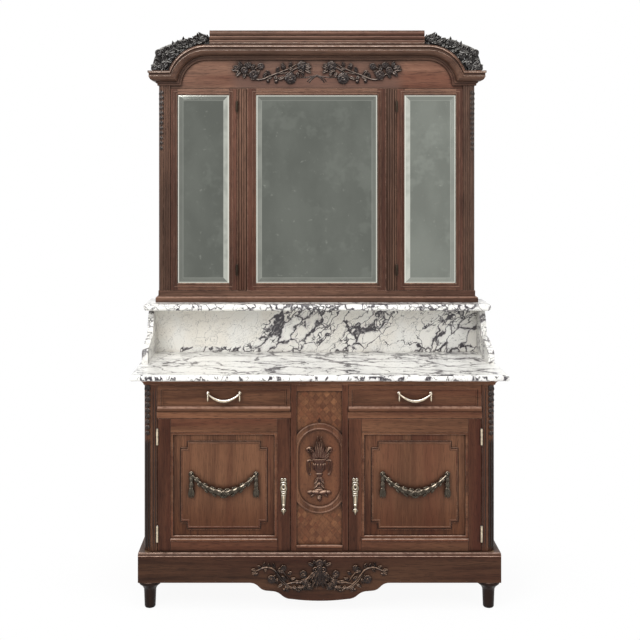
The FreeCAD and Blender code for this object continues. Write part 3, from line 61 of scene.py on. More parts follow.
# Places on the CAD in millimetres: the middle of a door and its drawer, its keyhole, the centre
# of the right shoulder's arch, the feet, and the depths of the faces that pieces stand on.
DOOR_MIDDLE = 342.5
KEYHOLE_X = 128.5
ARCH_X, ARCH_Z = 434, 1904
FEET = [(x, y) for x in (-609.0, 609.0) for y in (-206.0, 213.0)]
FIELD_FACE = -216.0
GARLAND_BACK = -220.0
DRAWER_FACE = -221.0
KEY_PLATE_FACE = -228.0
MIRROR_FACE = 160.0

COLOUR = "NodeSocketColor"
VALUE = "NodeSocketFloat"
VECTOR = "NodeSocketVector"


def linear(red, green, blue):
    """A colour given as three bytes, turned into the light values that shaders use."""
    share = np.array([red, green, blue]) / 255.0
    light = np.where(share <= 0.04045, share / 12.92, ((share + 0.055) / 1.055) ** 2.4)
    return tuple(float(value) for value in light)


def shade(colour, share):
    """The colour with its light scaled by the share."""
    return np.array(colour) * share


def names(words):
    """Names out of words, where one with {} stands for the left and the right of its kind."""
    return dict.fromkeys(word.format(side) for word in words.split() for side in SIDES)


def box_mm(node):
    """Lowest and highest corner of a CAD node, in millimetres."""
    low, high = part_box(node)
    return np.array(low) / MM, np.array(high) / MM


# Settings


def colour_setting(name, words, default):
    return bpy.props.FloatVectorProperty(
        name=name, description=words, subtype="COLOR", size=3, min=0, max=1, default=default
    )


def length_setting(name, words, default):
    return bpy.props.FloatProperty(
        name=name, description=words, subtype="DISTANCE", unit="LENGTH", default=default
    )


def share_setting(name, words, default):
    return bpy.props.FloatProperty(
        name=name, description=words, subtype="FACTOR", min=0, max=1, default=default
    )


class WoodSettings(bpy.types.PropertyGroup):
    light: colour_setting("Light figure", "Pale bands of the lower part", linear(128, 88, 64))
    dark: colour_setting("Dark figure", "Dark bands of the lower part", linear(72, 44, 31))
    faded: colour_setting("Faded figure", "Pale bands round the mirrors", linear(152, 114, 94))
    shaded: colour_setting("Faded dark", "Dark bands round the mirrors", linear(92, 67, 55))
    blush: colour_setting("Red boards", "Redder places in the boards", linear(98, 52, 38))
    # Hollows: the dark of joints and inlaid lines, and painted shade in hollows, creases and
    # grooves.
    hollow: colour_setting("Hollows", "Old wax in the hollows", linear(20, 11, 8))
    # Rubbed edges: pale wear, and painted highlights on edges and ledges.
    edge: colour_setting("Rubbed edges", "Edges rubbed pale by use", linear(182, 146, 126))
    corner: colour_setting("Corner carvings", "Stain of the head's corners", linear(30, 26, 25))
    pine: colour_setting("Inner wood", "Plain wood inside and behind", linear(176, 146, 108))
    gloss: share_setting("Wax", "How much wax lies on the wood", 0.06)


class MarbleSettings(bpy.types.PropertyGroup):
    ground: colour_setting("Ground", "White ground of the marble", linear(240, 239, 234))
    cloud: colour_setting("Clouds", "Beige clouds in the ground", linear(236, 231, 221))
    vein: colour_setting("Veins", "Dark veins", linear(56, 51, 57))


class MetalSettings(bpy.types.PropertyGroup):
    brass: colour_setting("Brass", "Polished brass", linear(232, 214, 186))
    bronze: colour_setting("Door garlands", "Rubbed bronze of the garlands", linear(80, 73, 64))
    # Tarnish: the dark of hollows, and painted shade on undersides.
    tarnish: colour_setting("Tarnish", "Dark tarnish in the hollows", linear(30, 22, 17))
    iron: colour_setting("Locks", "Iron of the locks", linear(74, 72, 70))


class GlassSettings(bpy.types.PropertyGroup):
    # The mirrors' grey and the bevel's tone are painted reflection.
    silver: colour_setting("Silvering", "Tone of the mirrors", linear(106, 109, 103))
    bevel: colour_setting("Bevel", "Tone of the lightest bevel", linear(206, 208, 198))
    width: length_setting("Bevel width", "Width of the bevelled rim", 0.021)


class StageSettings(bpy.types.PropertyGroup):
    paper: colour_setting("Paper", "Colour of floor and backdrop", linear(255, 255, 255))
    sky: share_setting("Soft light", "Strength of the light from all round", 0.42)
    key: bpy.props.FloatProperty(
        name="Main lamp", description="Power of the main lamp", unit="POWER", default=95.0
    )
    lens: bpy.props.FloatProperty(
        name="Lens", description="Focal length of the camera", subtype="DISTANCE_CAMERA",
        unit="CAMERA", default=59.4,
    )


# Meshes


def block_faces(shape, kind, start):
    """Faces of grids of points numbered from start, each grid closed round its columns.

    The shape is the number of grids, rows and columns. A ring closes along its rows too, and
    a cap has a face over each end.
    """
    index = start + np.arange(math.prod(shape)).reshape(shape)
    ends = [index[:, 0, ::-1], index[:, -1]] if kind == "cap" else []
    if kind == "ring":
        index = np.concatenate([index, index[:, :1]], axis=1)
    turned = np.roll(index, -1, axis=2)
    quads = np.stack([index[:, :-1], turned[:, :-1], turned[:, 1:], index[:, 1:]], axis=-1)
    return quads.reshape(-1, 4).tolist() + [face for end in ends for face in end.tolist()]


def make_piece(name, blocks, body, finish, replaces=(), crease=50.0):
    """One object out of blocks of (points in millimetres, kind), kind being pole, cap or ring.

    A block's points are (grids, rows, columns, 3). A pole's ends are drawn to a point, whose
    doubles are merged.
    """
    points = []
    faces = []
    start = 0
    for grid, kind in blocks:
        points.append(grid.reshape(-1, 3))
        faces += block_faces(grid.shape[:3], kind, start)
        start += len(points[-1])
    mesh = bpy.data.meshes.new(name)
    mesh.from_pydata((np.concatenate(points) * MM).tolist(), [], faces)
    shell = bmesh.new()
    shell.from_mesh(mesh)
    bmesh.ops.remove_doubles(shell, verts=shell.verts, dist=2e-7)
    bmesh.ops.recalc_face_normals(shell, faces=shell.faces)
    shell.to_mesh(mesh)
    shell.free()
    mesh.shade_smooth()
    mesh.set_sharp_from_angle(angle=math.radians(crease))
    mesh.materials.append(bpy.data.materials[finish])
    piece = bpy.data.objects.new(name, mesh)
    bpy.context.scene.collection.objects.link(piece)
    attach(piece, body)
    if replaces:
        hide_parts(*replaces)


def mirrored(blocks):
    """The blocks and their mirror image in the middle plane."""
    flip = np.array([-1.0, 1.0, 1.0])
    return blocks + [(grid * flip, kind) for grid, kind in blocks]


# Carved forms. All lie on an upright ground that faces the front, at the depth ground.


def turns(count):
    """Angles once round, count of them."""
    return np.arange(count) / count * 2 * np.pi


def rows_of(*columns):
    """Rows out of columns, each an array or one value for all the rows."""
    return np.column_stack(np.broadcast_arrays(*columns))


def block(px, py, pz, kind="pole"):
    """A list of one block, out of its points' coordinates over rows and columns."""
    grid = np.stack(np.broadcast_arrays(px, py, pz), axis=-1)
    return [(grid.reshape(-1, *grid.shape[-3:]), kind)]


def on_arch(reach, angle):
    """The points at a distance and an angle from the centre of the right shoulder's arch."""
    return np.stack([ARCH_X + reach * np.cos(angle), ARCH_Z + reach * np.sin(angle)], axis=-1)


def leaves(rows, ground, thick, belly, cup, stand, along=12, around=12):
    """Leaves and petals as closed shells.

    A row is foot x, foot z, heading in degrees, length, width, curl in degrees, lift, lobes.
    With u from foot to tip and v round the section, the midrib heads for heading + curl * u,
    the half width is width / 2 * sin(pi * u ** belly) less the notches between lobes, and the
    face stands out by thick * sin(v), with a groove on the midrib, ripples for the side
    veins, cup * cos(v) ** 2 and lift * u ** 1.5.
    """
    table = np.array(rows, dtype=float)
    x, z, heading, length, width, curl, lift, lobes = (
        column[:, None, None] for column in table.T
    )
    u = np.linspace(0.0, 1.0, along)[:, None]
    v = turns(around)
    across = np.cos(v)
    front = np.clip(np.sin(v), 0, None)
    back = np.clip(-np.sin(v), 0, None)
    angle = np.radians(heading + curl * u)
    step = length / (along - 1)
    run_x = np.cumsum(np.cos(angle), axis=1) - np.cos(angle)
    run_z = np.cumsum(np.sin(angle), axis=1) - np.sin(angle)
    notch = 1 - 0.22 * (lobes > 0) * (0.5 + 0.5 * np.cos(2 * np.pi * lobes * u))
    full = np.sin(np.pi * np.clip(u, 0, 1) ** belly) ** 0.8
    half = width / 2 * full * notch
    body = np.sin(np.pi * u) ** 0.5
    groove = 0.5 * np.exp(-((across / 0.2) ** 2))
    ripple = 0.16 * np.cos(2 * np.pi * lobes * (u + 0.2 * np.abs(across))) * (1 - across**2)
    out = thick * body * (front**0.7 * (1 - groove + ripple * (lobes > 0)) - 0.7 * back)
    out = out + cup * across**2 * body + lift * u**1.5 + stand
    px = x + step * run_x - np.sin(angle) * half * across
    pz = z + step * run_z + np.cos(angle) * half * across
    return block(px, ground - out, pz)


def beads(rows, ground, along=8, around=10):
    """Berries, buds and drops as ellipsoids.

    A row is centre x and z, heading in degrees, half length, half width, depth, and how far
    the centre stands off the ground. A point is centre + length * cos(pi * u) along the
    heading, and sin(pi * u) times the half width and depth round it.
    """
    table = np.array(rows, dtype=float)
    x, z, heading, length, width, depth, stand = (column[:, None, None] for column in table.T)
    u = np.linspace(0.0, 1.0, along)[:, None] * np.pi
    v = turns(around)
    angle = np.radians(heading)
    run = -length * np.cos(u)
    side = width * np.sin(u) * np.cos(v)
    px = x + run * np.cos(angle) - side * np.sin(angle)
    pz = z + run * np.sin(angle) + side * np.cos(angle)
    py = ground - stand - depth * np.sin(u) * np.sin(v)
    return block(px, py, pz)


def smooth_line(points, count):
    """count points evenly spread on the curve through the given points.

    Between two points it is the cubic whose slope at each is half the step between its
    neighbours.
    """
    given = np.array(points, dtype=float)
    padded = np.concatenate([[2 * given[0] - given[1]], given, [2 * given[-1] - given[-2]]])
    where = np.linspace(0, len(given) - 1, count)
    piece = np.minimum(where.astype(int), len(given) - 2)
    t = (where - piece)[:, None]
    a, b, c, d = (padded[piece + k] for k in range(4))
    return 0.5 * (
        2 * b + (c - a) * t + (2 * a - 5 * b + 4 * c - d) * t**2
        + (3 * b - a - 3 * c + d) * t**3
    )


def stem(points, ground, radius, flat, stand, count=24, around=8, taper=0.35):
    """A stem, ribbon or garland along a smooth line of x, z points, as a closed shell.

    The section is an ellipse of the radius across the line and flat * radius out of the
    ground. The radius falls to taper of itself at both ends, where it closes to a point.
    """
    line = smooth_line(points, count)
    line = np.column_stack([line[:, 0], np.full(count, stand), line[:, 1]])
    tangent = np.gradient(line, axis=0)
    tangent /= np.linalg.norm(tangent, axis=1)[:, None]
    outward = np.array([0.0, 1.0, 0.0])
    side = np.cross(tangent, outward)
    side /= np.linalg.norm(side, axis=1)[:, None]
    up = np.cross(side, tangent)
    u = np.linspace(0.0, 1.0, count)
    reach = radius * (taper + (1 - taper) * np.sin(np.pi * u))
    reach[[0, -1]] = 0.0
    v = turns(around)
    ring = np.cos(v)[None, :, None] * side[:, None, :]
    ring = ring + flat * np.sin(v)[None, :, None] * up[:, None, :]
    grid = line[:, None, :] + reach[:, None, None] * ring
    grid[..., 1] = ground - grid[..., 1]
    return [(grid[None], "pole")]


def bowl(profile, x, ground, flat, around=20):
    """A turned shape, or one in relief: rows of height and half width, revolved and flattened.

    At the angle v the point is half width * cos(v) across and flat * half width * sin(v) out.
    """
    table = np.array(profile, dtype=float)
    v = turns(around)
    px = x + table[:, 1:] * np.cos(v)
    py = ground - flat * table[:, 1:] * np.sin(v)
    return block(px, py, table[:, :1])


def hoop(x, z, ground, radius, thick, stand, tall=1.0, along=28, around=10):
    """A ring that lies on the ground, its height tall times its width.

    At the angles u along and v round it, a point is radius + thick * cos(v) from the centre
    and thick * sin(v) out.
    """
    u = turns(along)[:, None]
    v = turns(around)
    reach = radius + thick * np.cos(v)
    px = x + reach * np.cos(u)
    py = ground - stand - thick * np.sin(v)
    return block(px, py, z + reach * np.sin(u) * tall, "ring")


def moulding(corners, profile, ground, closed=True):
    """A profile carried round a flat outline of x, z corners, mitred at each.

    The profile's rows are the way to the left of the outline's direction and the way out of
    the ground. At a corner the way left is taken along the sum of the two sides' left
    directions over one plus their cosine.
    """
    path = np.array(corners, dtype=float)
    shape = np.array(profile, dtype=float)
    ahead = np.roll(path, -1, axis=0) - path
    if not closed:
        ahead[-1] = ahead[-2]
    ahead /= np.linalg.norm(ahead, axis=1)[:, None]
    left = np.column_stack([-ahead[:, 1], ahead[:, 0]])
    before = np.roll(left, 1, axis=0)
    if not closed:
        before[0] = left[0]
    mitre = (left + before) / (1 + np.sum(left * before, axis=1))[:, None]
    flat = path[:, None, :] + shape[None, :, :1] * mitre[:, None, :]
    kind = "ring" if closed else "cap"
    return block(flat[..., 0], ground - shape[:, 1], flat[..., 1], kind)


def round_profile(width, height, sink=1.0, count=7):
    """A half-round bead's section, width across and height out, standing sink deep."""
    v = np.linspace(0, np.pi, count)
    arc = np.column_stack([width / 2 * (1 - np.cos(v)), height * np.sin(v)])
    return np.concatenate([arc, [[width, -sink], [0.0, -sink]]])


def cove_profile(width, height, sink=1.0, count=6):
    """A sloping hollow from the height at the outside to nothing at the inside."""
    v = np.linspace(0, np.pi / 2, count)
    arc = np.column_stack([width * np.sin(v), height * np.cos(v) ** 1.4])
    return np.concatenate([[[0.0, -sink]], arc, [[width, -sink]]])


def rectangle(left, right, bottom, top):
    return [(left, bottom), (right, bottom), (right, top), (left, top)]


def notched(left, right, bottom, top, notch):
    """The corners of a rectangle with a square cut out of each corner."""
    return [
        (left + notch, bottom), (right - notch, bottom), (right - notch, bottom + notch),
        (right, bottom + notch), (right, top - notch), (right - notch, top - notch),
        (right - notch, top), (left + notch, top), (left + notch, top - notch),
        (left, top - notch), (left, bottom + notch), (left + notch, bottom + notch),
    ]


def inset(node, by):
    """Left, right, bottom and top of a CAD node's face, moved in by a width."""
    low, high = box_mm(node)
    return low[0] + by, high[0] - by, low[2] + by, high[2] - by


def flower(x, z, radius, ground, petals, stand, turn):
    """Petals in a ring round a bead, in one plane."""
    angles = turn + np.arange(petals) * 360 / petals
    width = 2.1 * radius * math.sin(math.pi / petals)
    rows = [(x, z, a, radius, width, 0, radius * 0.12, 0) for a in angles]
    heart = radius * 0.26
    blocks = leaves(
        rows, ground, radius * 0.2, 1.5, radius * 0.1, stand + radius * 0.1, along=9, around=10
    )
    return blocks + beads([(x, z, 0, heart, heart, heart, stand + radius * 0.24)], ground)


def rose(x, z, radius, ground, stand, turn):
    """Three rings of petals, each smaller, further out and more upright than the last."""
    blocks = []
    for ring, (count, size, lift) in enumerate(((6, 1.0, 0.1), (5, 0.72, 0.3), (4, 0.45, 0.45))):
        angles = turn + ring * 33 + np.arange(count) * 360 / count
        reach = radius * size
        width = 2.5 * reach * math.sin(math.pi / count)
        rows = [(x, z, a, reach, width, 14, radius * lift * 0.5, 0) for a in angles]
        thick = radius * 0.16
        blocks += leaves(rows, ground, thick, 1.7, thick, stand + ring * thick, along=9, around=10)
    heart = radius * 0.2
    return blocks + beads([(x, z, 0, heart, heart, heart, stand + radius * 0.5)], ground)


# Shader groups


def math_step(operation):
    """A method of Wiring that adds one Math node of the operation."""
    return lambda wires, *values: wires.math(operation, *values)


class Wiring:
    """Adds nodes to one shader tree and links them."""

    # Each takes its values in their order, and line(value, slope, rest) is value * slope + rest.
    plus = math_step("ADD")
    minus = math_step("SUBTRACT")
    times = math_step("MULTIPLY")
    over = math_step("DIVIDE")
    line = math_step("MULTIPLY_ADD")
    most = math_step("MAXIMUM")
    least = math_step("MINIMUM")
    size = math_step("ABSOLUTE")
    under = math_step("LESS_THAN")
    above = math_step("GREATER_THAN")

    def __init__(self, tree):
        self.tree = tree

    def feed(self, socket, value):
        if isinstance(value, bpy.types.NodeSocket):
            self.tree.links.new(value, socket)
        elif socket.type == "RGBA" and len(value) == 3:
            socket.default_value = (*value, 1.0)
        else:
            socket.default_value = value

    def fill(self, sockets, **values):
        """Feeds sockets by their names, where an underscore stands for a space."""
        for key, value in values.items():
            self.feed(sockets[key.replace("_", " ")], value)

    def node(self, kind, inputs=None, **settings):
        made = self.tree.nodes.new(kind)
        for key, value in settings.items():
            setattr(made, key, value)
        for key, value in (inputs or {}).items():
            self.feed(made.inputs[key], value)
        return made

    def math(self, operation, first, second=0.0, third=0.0):
        inputs = {0: first, 1: second, 2: third}
        return self.node("ShaderNodeMath", inputs, operation=operation).outputs[0]

    def gap(self, first, second):
        """How far two values lie apart."""
        return self.size(self.minus(first, second))

    def vector(self, operation, first, second=(0.0, 0.0, 0.0), scale=1.0):
        inputs = {0: first, 3: scale} if operation == "SCALE" else {0: first, 1: second}
        made = self.node("ShaderNodeVectorMath", inputs, operation=operation)
        return made.outputs[1 if operation in ("DOT_PRODUCT", "LENGTH") else 0]

    def noise(self, vector, scale, detail, rough=0.5, distortion=0.0, output="Fac"):
        made = self.node(
            "ShaderNodeTexNoise",
            {"Vector": vector, "Scale": scale, "Detail": detail, "Roughness": rough,
             "Distortion": distortion},
        )
        return made.outputs[output]

    def cells(self, vector, scale, feature="DISTANCE_TO_EDGE"):
        inputs = {"Vector": vector, "Scale": scale}
        return self.node("ShaderNodeTexVoronoi", inputs, feature=feature).outputs

    def between(self, value, low, high, at_low=0.0, at_high=1.0):
        """at_low where value is low, at_high where it is high, and an even curve between."""
        return self.node(
            "ShaderNodeMapRange",
            {"Value": value, "From Min": low, "From Max": high, "To Min": at_low,
             "To Max": at_high},
            interpolation_type="SMOOTHSTEP",
        ).outputs[0]

    def choose(self, share, first, second):
        """The vector between the first, at a share of 0, and the second, at 1."""
        made = self.node("ShaderNodeMix", {0: share, 4: first, 5: second}, data_type="VECTOR")
        return made.outputs[1]

    def blend(self, share, first, second, kind="MIX"):
        inputs = {0: share, 6: first, 7: second}
        made = self.node("ShaderNodeMix", inputs, data_type="RGBA", blend_type=kind)
        return made.outputs[2]

    def ramp(self, value, stops, reach):
        """A level read from stops of (place, level), with the value taken as a share of reach."""
        made = self.node("ShaderNodeValToRGB", {0: self.over(value, reach)})
        points = made.color_ramp.elements
        for place, _ in stops[2:]:
            points.new(place / reach)
        for point, (place, level) in zip(points, stops):
            point.position = place / reach
            point.color = (level, level, level, 1.0)
        return made.outputs[0]

    def parts(self, vector):
        return self.node("ShaderNodeSeparateXYZ", {0: vector}).outputs

    def join(self, x, y, z):
        return self.node("ShaderNodeCombineXYZ", {0: x, 1: y, 2: z}).outputs[0]

    def use(self, group, **inputs):
        made = self.tree.nodes.new("ShaderNodeGroup")
        made.node_tree = bpy.data.node_groups[group]
        self.fill(made.inputs, **inputs)
        return made.outputs

    def place(self):
        return self.node("ShaderNodeTexCoord").outputs["Object"]

    def bump(self, height, normal, strength, distance):
        """The normal, tilted by the slope of the height."""
        inputs = {"Strength": strength, "Distance": distance, "Height": height, "Normal": normal}
        return self.node("ShaderNodeBump", inputs).outputs[0]

    def seen(self):
        """One for the rays that show things, straight, mirrored or through clear matter."""
        ray = self.node("ShaderNodeLightPath").outputs
        seen = self.most(ray["Is Camera Ray"], ray["Is Glossy Ray"])
        return self.most(seen, ray["Is Transmission Ray"])

    def surface(self, output, share, first, second):
        """Gives the output node the mix of two shaders."""
        inputs = {0: share, 1: first.outputs[0], 2: second.outputs[0]}
        made = self.node("ShaderNodeMixShader", inputs)
        self.feed(self.tree.nodes[output].inputs["Surface"], made.outputs[0])


def new_group(name, inputs, outputs):
    """An empty shader group with named sockets, its wiring, and its two ends."""
    tree = bpy.data.node_groups.new(name, "ShaderNodeTree")
    for label, kind in inputs:
        tree.interface.new_socket(label, in_out="INPUT", socket_type=kind)
    for label, kind in outputs:
        tree.interface.new_socket(label, in_out="OUTPUT", socket_type=kind)
    wires = Wiring(tree)
    start = wires.node("NodeGroupInput").outputs
    end = wires.node("NodeGroupOutput").inputs
    return wires, start, end


def build_figure_group():
    """Walnut figure: broad bands, fine streaks, redder places and short dark pores."""
    wires, start, end = new_group(
        "Wood figure",
        [("Vector", VECTOR), ("Stretch", VECTOR), ("Light", COLOUR), ("Dark", COLOUR),
         ("Blush", COLOUR), ("Pores", VALUE)],
        [("Colour", COLOUR), ("Height", VALUE)],
    )
    along = wires.vector("MULTIPLY", start["Vector"], start["Stretch"])
    broad = wires.noise(along, 11.0, 3.0, 0.55, 1.4)
    streak = wires.noise(along, 75.0, 4.0, 0.65, 0.6)
    fleck = wires.noise(along, 520.0, 2.0, 0.5)
    patch = wires.noise(start["Vector"], 4.0, 2.0)
    tone = wires.line(broad, 1.1, wires.times(streak, 0.8))
    tone = wires.line(patch, 0.5, tone)
    share = wires.between(tone, 0.82, 1.55)
    colour = wires.blend(share, start["Dark"], start["Light"])
    warm = wires.vector("MULTIPLY", along, (3.0, 3.0, 3.0))
    red = wires.between(wires.noise(warm, 2.2, 3.0, 0.6), 0.46, 0.66, 0.0, 0.6)
    colour = wires.blend(red, colour, start["Blush"])
    pore = wires.between(fleck, 0.36, 0.46, 1.0, 0.0)
    amount = wires.times(pore, start["Pores"])
    colour = wires.blend(amount, colour, linear(30, 17, 13))
    wires.fill(end, Colour=colour, Height=wires.minus(wires.times(streak, 0.5), amount))


def build_age_group():
    """Wear and painted light: painted shade where the shape closes in, worn edges with painted
    highlights, painted highlights on ledges that face the light, softened edges.

    Up is how far the softened surface faces the light, which falls from above and the left.
    """
    wires, start, end = new_group(
        "Age",
        [("Colour", COLOUR), ("Hollow Colour", COLOUR), ("Edge Colour", COLOUR),
         ("Reach", VALUE), ("Radius", VALUE), ("Hollow", VALUE), ("Edge", VALUE),
         ("Ledge", VALUE)],
        [("Colour", COLOUR), ("Hollow", VALUE), ("Edge", VALUE), ("Up", VALUE),
         ("Normal", VECTOR)],
    )
    closed = wires.node("ShaderNodeAmbientOcclusion", {"Distance": start["Reach"]}, samples=8)
    open_air = closed.outputs["AO"]
    normal = wires.node("ShaderNodeNewGeometry").outputs["Normal"]
    soft = wires.node("ShaderNodeBevel", {"Radius": start["Radius"]}, samples=4).outputs[0]
    turn = wires.minus(1.0, wires.vector("DOT_PRODUCT", normal, soft))
    rough = wires.noise(wires.place(), 60.0, 3.0)
    # Edges are paler: wear, and painted highlight on them.
    edge = wires.between(turn, 0.01, 0.14)
    edge = wires.times(edge, wires.between(open_air, 0.35, 0.75))
    edge = wires.times(edge, wires.between(rough, 0.3, 0.62))
    # Ledges that face the light, which falls from above and the left, are paler: painted
    # highlight.
    up = wires.vector("DOT_PRODUCT", soft, (-0.25, -0.3, 0.92))
    ledge_highlight = wires.times(wires.between(up, 0.42, 0.85), start["Ledge"])
    ledge_highlight = wires.times(ledge_highlight, wires.between(open_air, 0.2, 0.65))
    ledge_highlight = wires.times(ledge_highlight, wires.between(rough, 0.32, 0.56, 0.45, 1.0))
    # Where the shape closes in, the colour darkens: painted shade.
    hollow = wires.between(open_air, 0.92, 0.3)
    deep = wires.times(hollow, start["Hollow"])
    rubbed_and_highlit = wires.most(wires.times(edge, start["Edge"]), ledge_highlight)
    colour = wires.blend(deep, start["Colour"], start["Hollow Colour"])
    colour = wires.blend(rubbed_and_highlit, colour, start["Edge Colour"])
    wires.fill(end, Colour=colour, Hollow=hollow, Edge=edge, Up=up, Normal=soft)


def build_joinery_group():
    """Joinery: turns the grain in the rails of a frame and marks the lines where boards meet.

    A point is in a rail where it lies between the stiles and above or below the opening.
    """
    wires, start, end = new_group(
        "Joinery",
        [("Vector", VECTOR), ("Middle", VALUE), ("Half", VALUE), ("Low", VALUE), ("High", VALUE)],
        [("Vector", VECTOR), ("Joint", VALUE), ("Rail", VALUE)],
    )
    x, y, z = wires.parts(start["Vector"])
    away = wires.gap(wires.size(x), start["Middle"])
    inside = wires.under(away, start["Half"])
    low = wires.under(z, start["Low"])
    high = wires.above(z, start["High"])
    rail = wires.most(low, high)
    mask = wires.times(inside, rail)
    level = wires.join(z, y, wires.plus(x, 3.7))
    turned = wires.choose(mask, start["Vector"], level)
    near = wires.gap(away, start["Half"])
    line = wires.between(near, 0.0002, 0.0014, 1.0, 0.0)
    wires.fill(end, Vector=turned, Joint=wires.times(line, rail), Rail=mask)


def build_lozenge_group():
    """Lozenges: two sets of slanting lines cut the face into diamonds of two tones."""
    wires, start, end = new_group(
        "Lozenges",
        [("Vector", VECTOR), ("Width", VALUE), ("Height", VALUE)],
        [("Vector", VECTOR), ("Tone", VALUE), ("Joint", VALUE)],
    )
    x, y, z = wires.parts(start["Vector"])
    across = wires.over(x, start["Width"])
    up = wires.over(z, start["Height"])
    rise = wires.plus(across, up)
    fall = wires.minus(up, across)
    one = wires.math("FLOOR", rise)
    two = wires.math("FLOOR", fall)
    odd = wires.math("FLOORED_MODULO", wires.plus(one, two), 2.0)
    near_one = wires.math("PINGPONG", rise, 0.5)
    near_two = wires.math("PINGPONG", fall, 0.5)
    near = wires.least(near_one, near_two)
    scatter = wires.node("ShaderNodeTexWhiteNoise", {"Vector": wires.join(one, two, 0.0)})
    tone = wires.line(scatter.outputs["Value"], 0.55, wires.times(odd, 0.45))
    slant = wires.line(odd, 2.0, -1.0)
    lean = wires.times(slant, 0.62)
    turned = wires.join(wires.line(z, lean, x), y, wires.line(one, 0.31, z))
    wires.fill(end, Vector=turned, Tone=tone, Joint=wires.between(near, 0.008, 0.03, 1.0, 0.0))


def build_field_group():
    """Notched field: lines along a rectangle whose corners have a square cut out.

    With a and b the ways beyond the sides' middles, the way outside is the larger of both, or
    in a corner the smaller of both plus the notch.
    """
    wires, start, end = new_group(
        "Notched field",
        [("Vector", VECTOR), ("Middle", VALUE), ("Half", VALUE), ("Height", VALUE),
         ("Tall", VALUE), ("Notch", VALUE)],
        [("Inside", VALUE), ("Quirk", VALUE), ("Rim", VALUE)],
    )
    x, _, z = wires.parts(start["Vector"])
    side = wires.gap(wires.size(x), start["Middle"])
    rise = wires.gap(z, start["Height"])
    side = wires.minus(side, start["Half"])
    rise = wires.minus(rise, start["Tall"])
    corner = wires.plus(wires.least(side, rise), start["Notch"])
    away = wires.most(wires.most(side, rise), corner)
    out = wires.gap(away, 0.002)
    rim = wires.size(wires.plus(away, 0.0035))
    # Quirk is a line just outside the field, for painted shade; Rim one inside, for painted
    # highlight.
    quirk = wires.between(out, 0.0008, 0.0028, 1.0, 0.0)
    rim = wires.between(rim, 0.0006, 0.0024, 1.0, 0.0)
    wires.fill(end, Inside=wires.under(away, 0.0), Quirk=quirk, Rim=rim)


def build_marble_group():
    """Marble: crushed white stone whose broken joints are filled with dark veins.

    The place is turned to the lay, jogged by two noises, drawn out and cut into cells. A vein
    lies where the way to a cell's edge is under a width that swells and fades.
    """
    wires, start, end = new_group(
        "Marble veins",
        [("Vector", VECTOR), ("Lay", VECTOR), ("Stretch", VECTOR), ("Scale", VALUE),
         ("Width", VALUE), ("Busy", VALUE), ("Crush", VALUE)],
        [("Vein", VALUE), ("Haze", VALUE), ("Shard", VALUE), ("Speckle", VALUE)],
    )
    place = turned = wires.node(
        "ShaderNodeVectorRotate", {0: start["Vector"], 4: start["Lay"]}, rotation_type="EULER_XYZ"
    ).outputs[0]
    for scale, reach in ((6.0, 0.13), (42.0, 0.024)):
        push = wires.noise(start["Vector"], scale, 3.0, 0.6, output="Color")
        push = wires.vector("SUBTRACT", push, (0.5, 0.5, 0.5))
        place = wires.vector("ADD", place, wires.vector("SCALE", push, scale=reach))
    drawn = wires.vector("MULTIPLY", place, start["Stretch"])
    fine = wires.times(start["Scale"], 2.3)
    big = wires.cells(drawn, start["Scale"])["Distance"]
    small = wires.cells(drawn, fine)["Distance"]
    shard = wires.cells(drawn, start["Scale"], "F1")["Color"]
    swell = wires.between(wires.noise(turned, 15.0, 3.0), 0.4, 0.64)
    crush = wires.between(wires.noise(turned, 9.0, 3.0, 0.6), 0.46, 0.6)
    crush = wires.times(crush, start["Busy"])
    grow = wires.line(swell, 1.0, 0.4)
    wide = wires.times(wires.times(start["Width"], start["Busy"]), grow)
    ratio = wires.over(big, wires.most(wide, 0.0005))
    small_wide = wires.times(start["Width"], wires.times(crush, start["Crush"]))
    small_ratio = wires.over(small, wires.most(small_wide, 0.0005))
    broad = wires.between(ratio, 0.7, 1.1, 1.0, 0.0)
    vein = wires.most(broad, wires.between(small_ratio, 0.6, 1.1, 1.0, 0.0))
    thread = wires.noise(drawn, wires.times(start["Scale"], 0.8), 5.0, 0.6)
    thread = wires.gap(thread, 0.5)
    thread = wires.between(thread, 0.0, 0.006, 0.6, 0.0)
    grit = wires.between(wires.noise(drawn, 110.0, 3.0), 0.3, 0.52, 0.55, 1.0)
    speck = wires.noise(start["Vector"], 160.0, 3.0, 0.6)
    wires.fill(
        end, Vein=wires.times(wires.most(vein, thread), grit),
        Haze=wires.times(wires.between(ratio, 3.2, 0.9), start["Busy"]),
        Shard=wires.parts(shard)[0], Speckle=wires.between(speck, 0.56, 0.7),
    )


def build_rim_group():
    """Rim: how far a point of an upright pane lies inside its edge, and its bevel's level.

    Left, Right, Low and High are the levels of the four bevels' painted reflections, and Level
    is that of the bevel whose edge is nearest.
    """
    wires, start, end = new_group(
        "Pane rim",
        [("Vector", VECTOR), ("Centre", VECTOR), ("Half", VECTOR), ("Left", VALUE),
         ("Right", VALUE), ("Low", VALUE), ("High", VALUE)],
        [("Inside", VALUE), ("Level", VALUE)],
    )
    away = wires.vector("SUBTRACT", start["Vector"], start["Centre"])
    way_x, _, way_z = wires.parts(away)
    x, _, z = wires.parts(wires.vector("SUBTRACT", start["Half"], wires.vector("ABSOLUTE", away)))
    pairs = []
    for way, low, high in ((way_x, "Left", "Right"), (way_z, "Low", "High")):
        after = wires.above(way, 0.0)
        before = wires.minus(1.0, after)
        level = wires.times(before, start[low])
        pairs.append(wires.line(after, start[high], level))
    upright = wires.under(x, z)
    flat = wires.times(wires.minus(1.0, upright), pairs[1])
    wires.fill(end, Inside=wires.least(x, z), Level=wires.line(upright, pairs[0], flat))


GROUPS = (
    build_figure_group,
    build_age_group,
    build_joinery_group,
    build_lozenge_group,
    build_field_group,
    build_marble_group,
    build_rim_group,
)


# Finishes


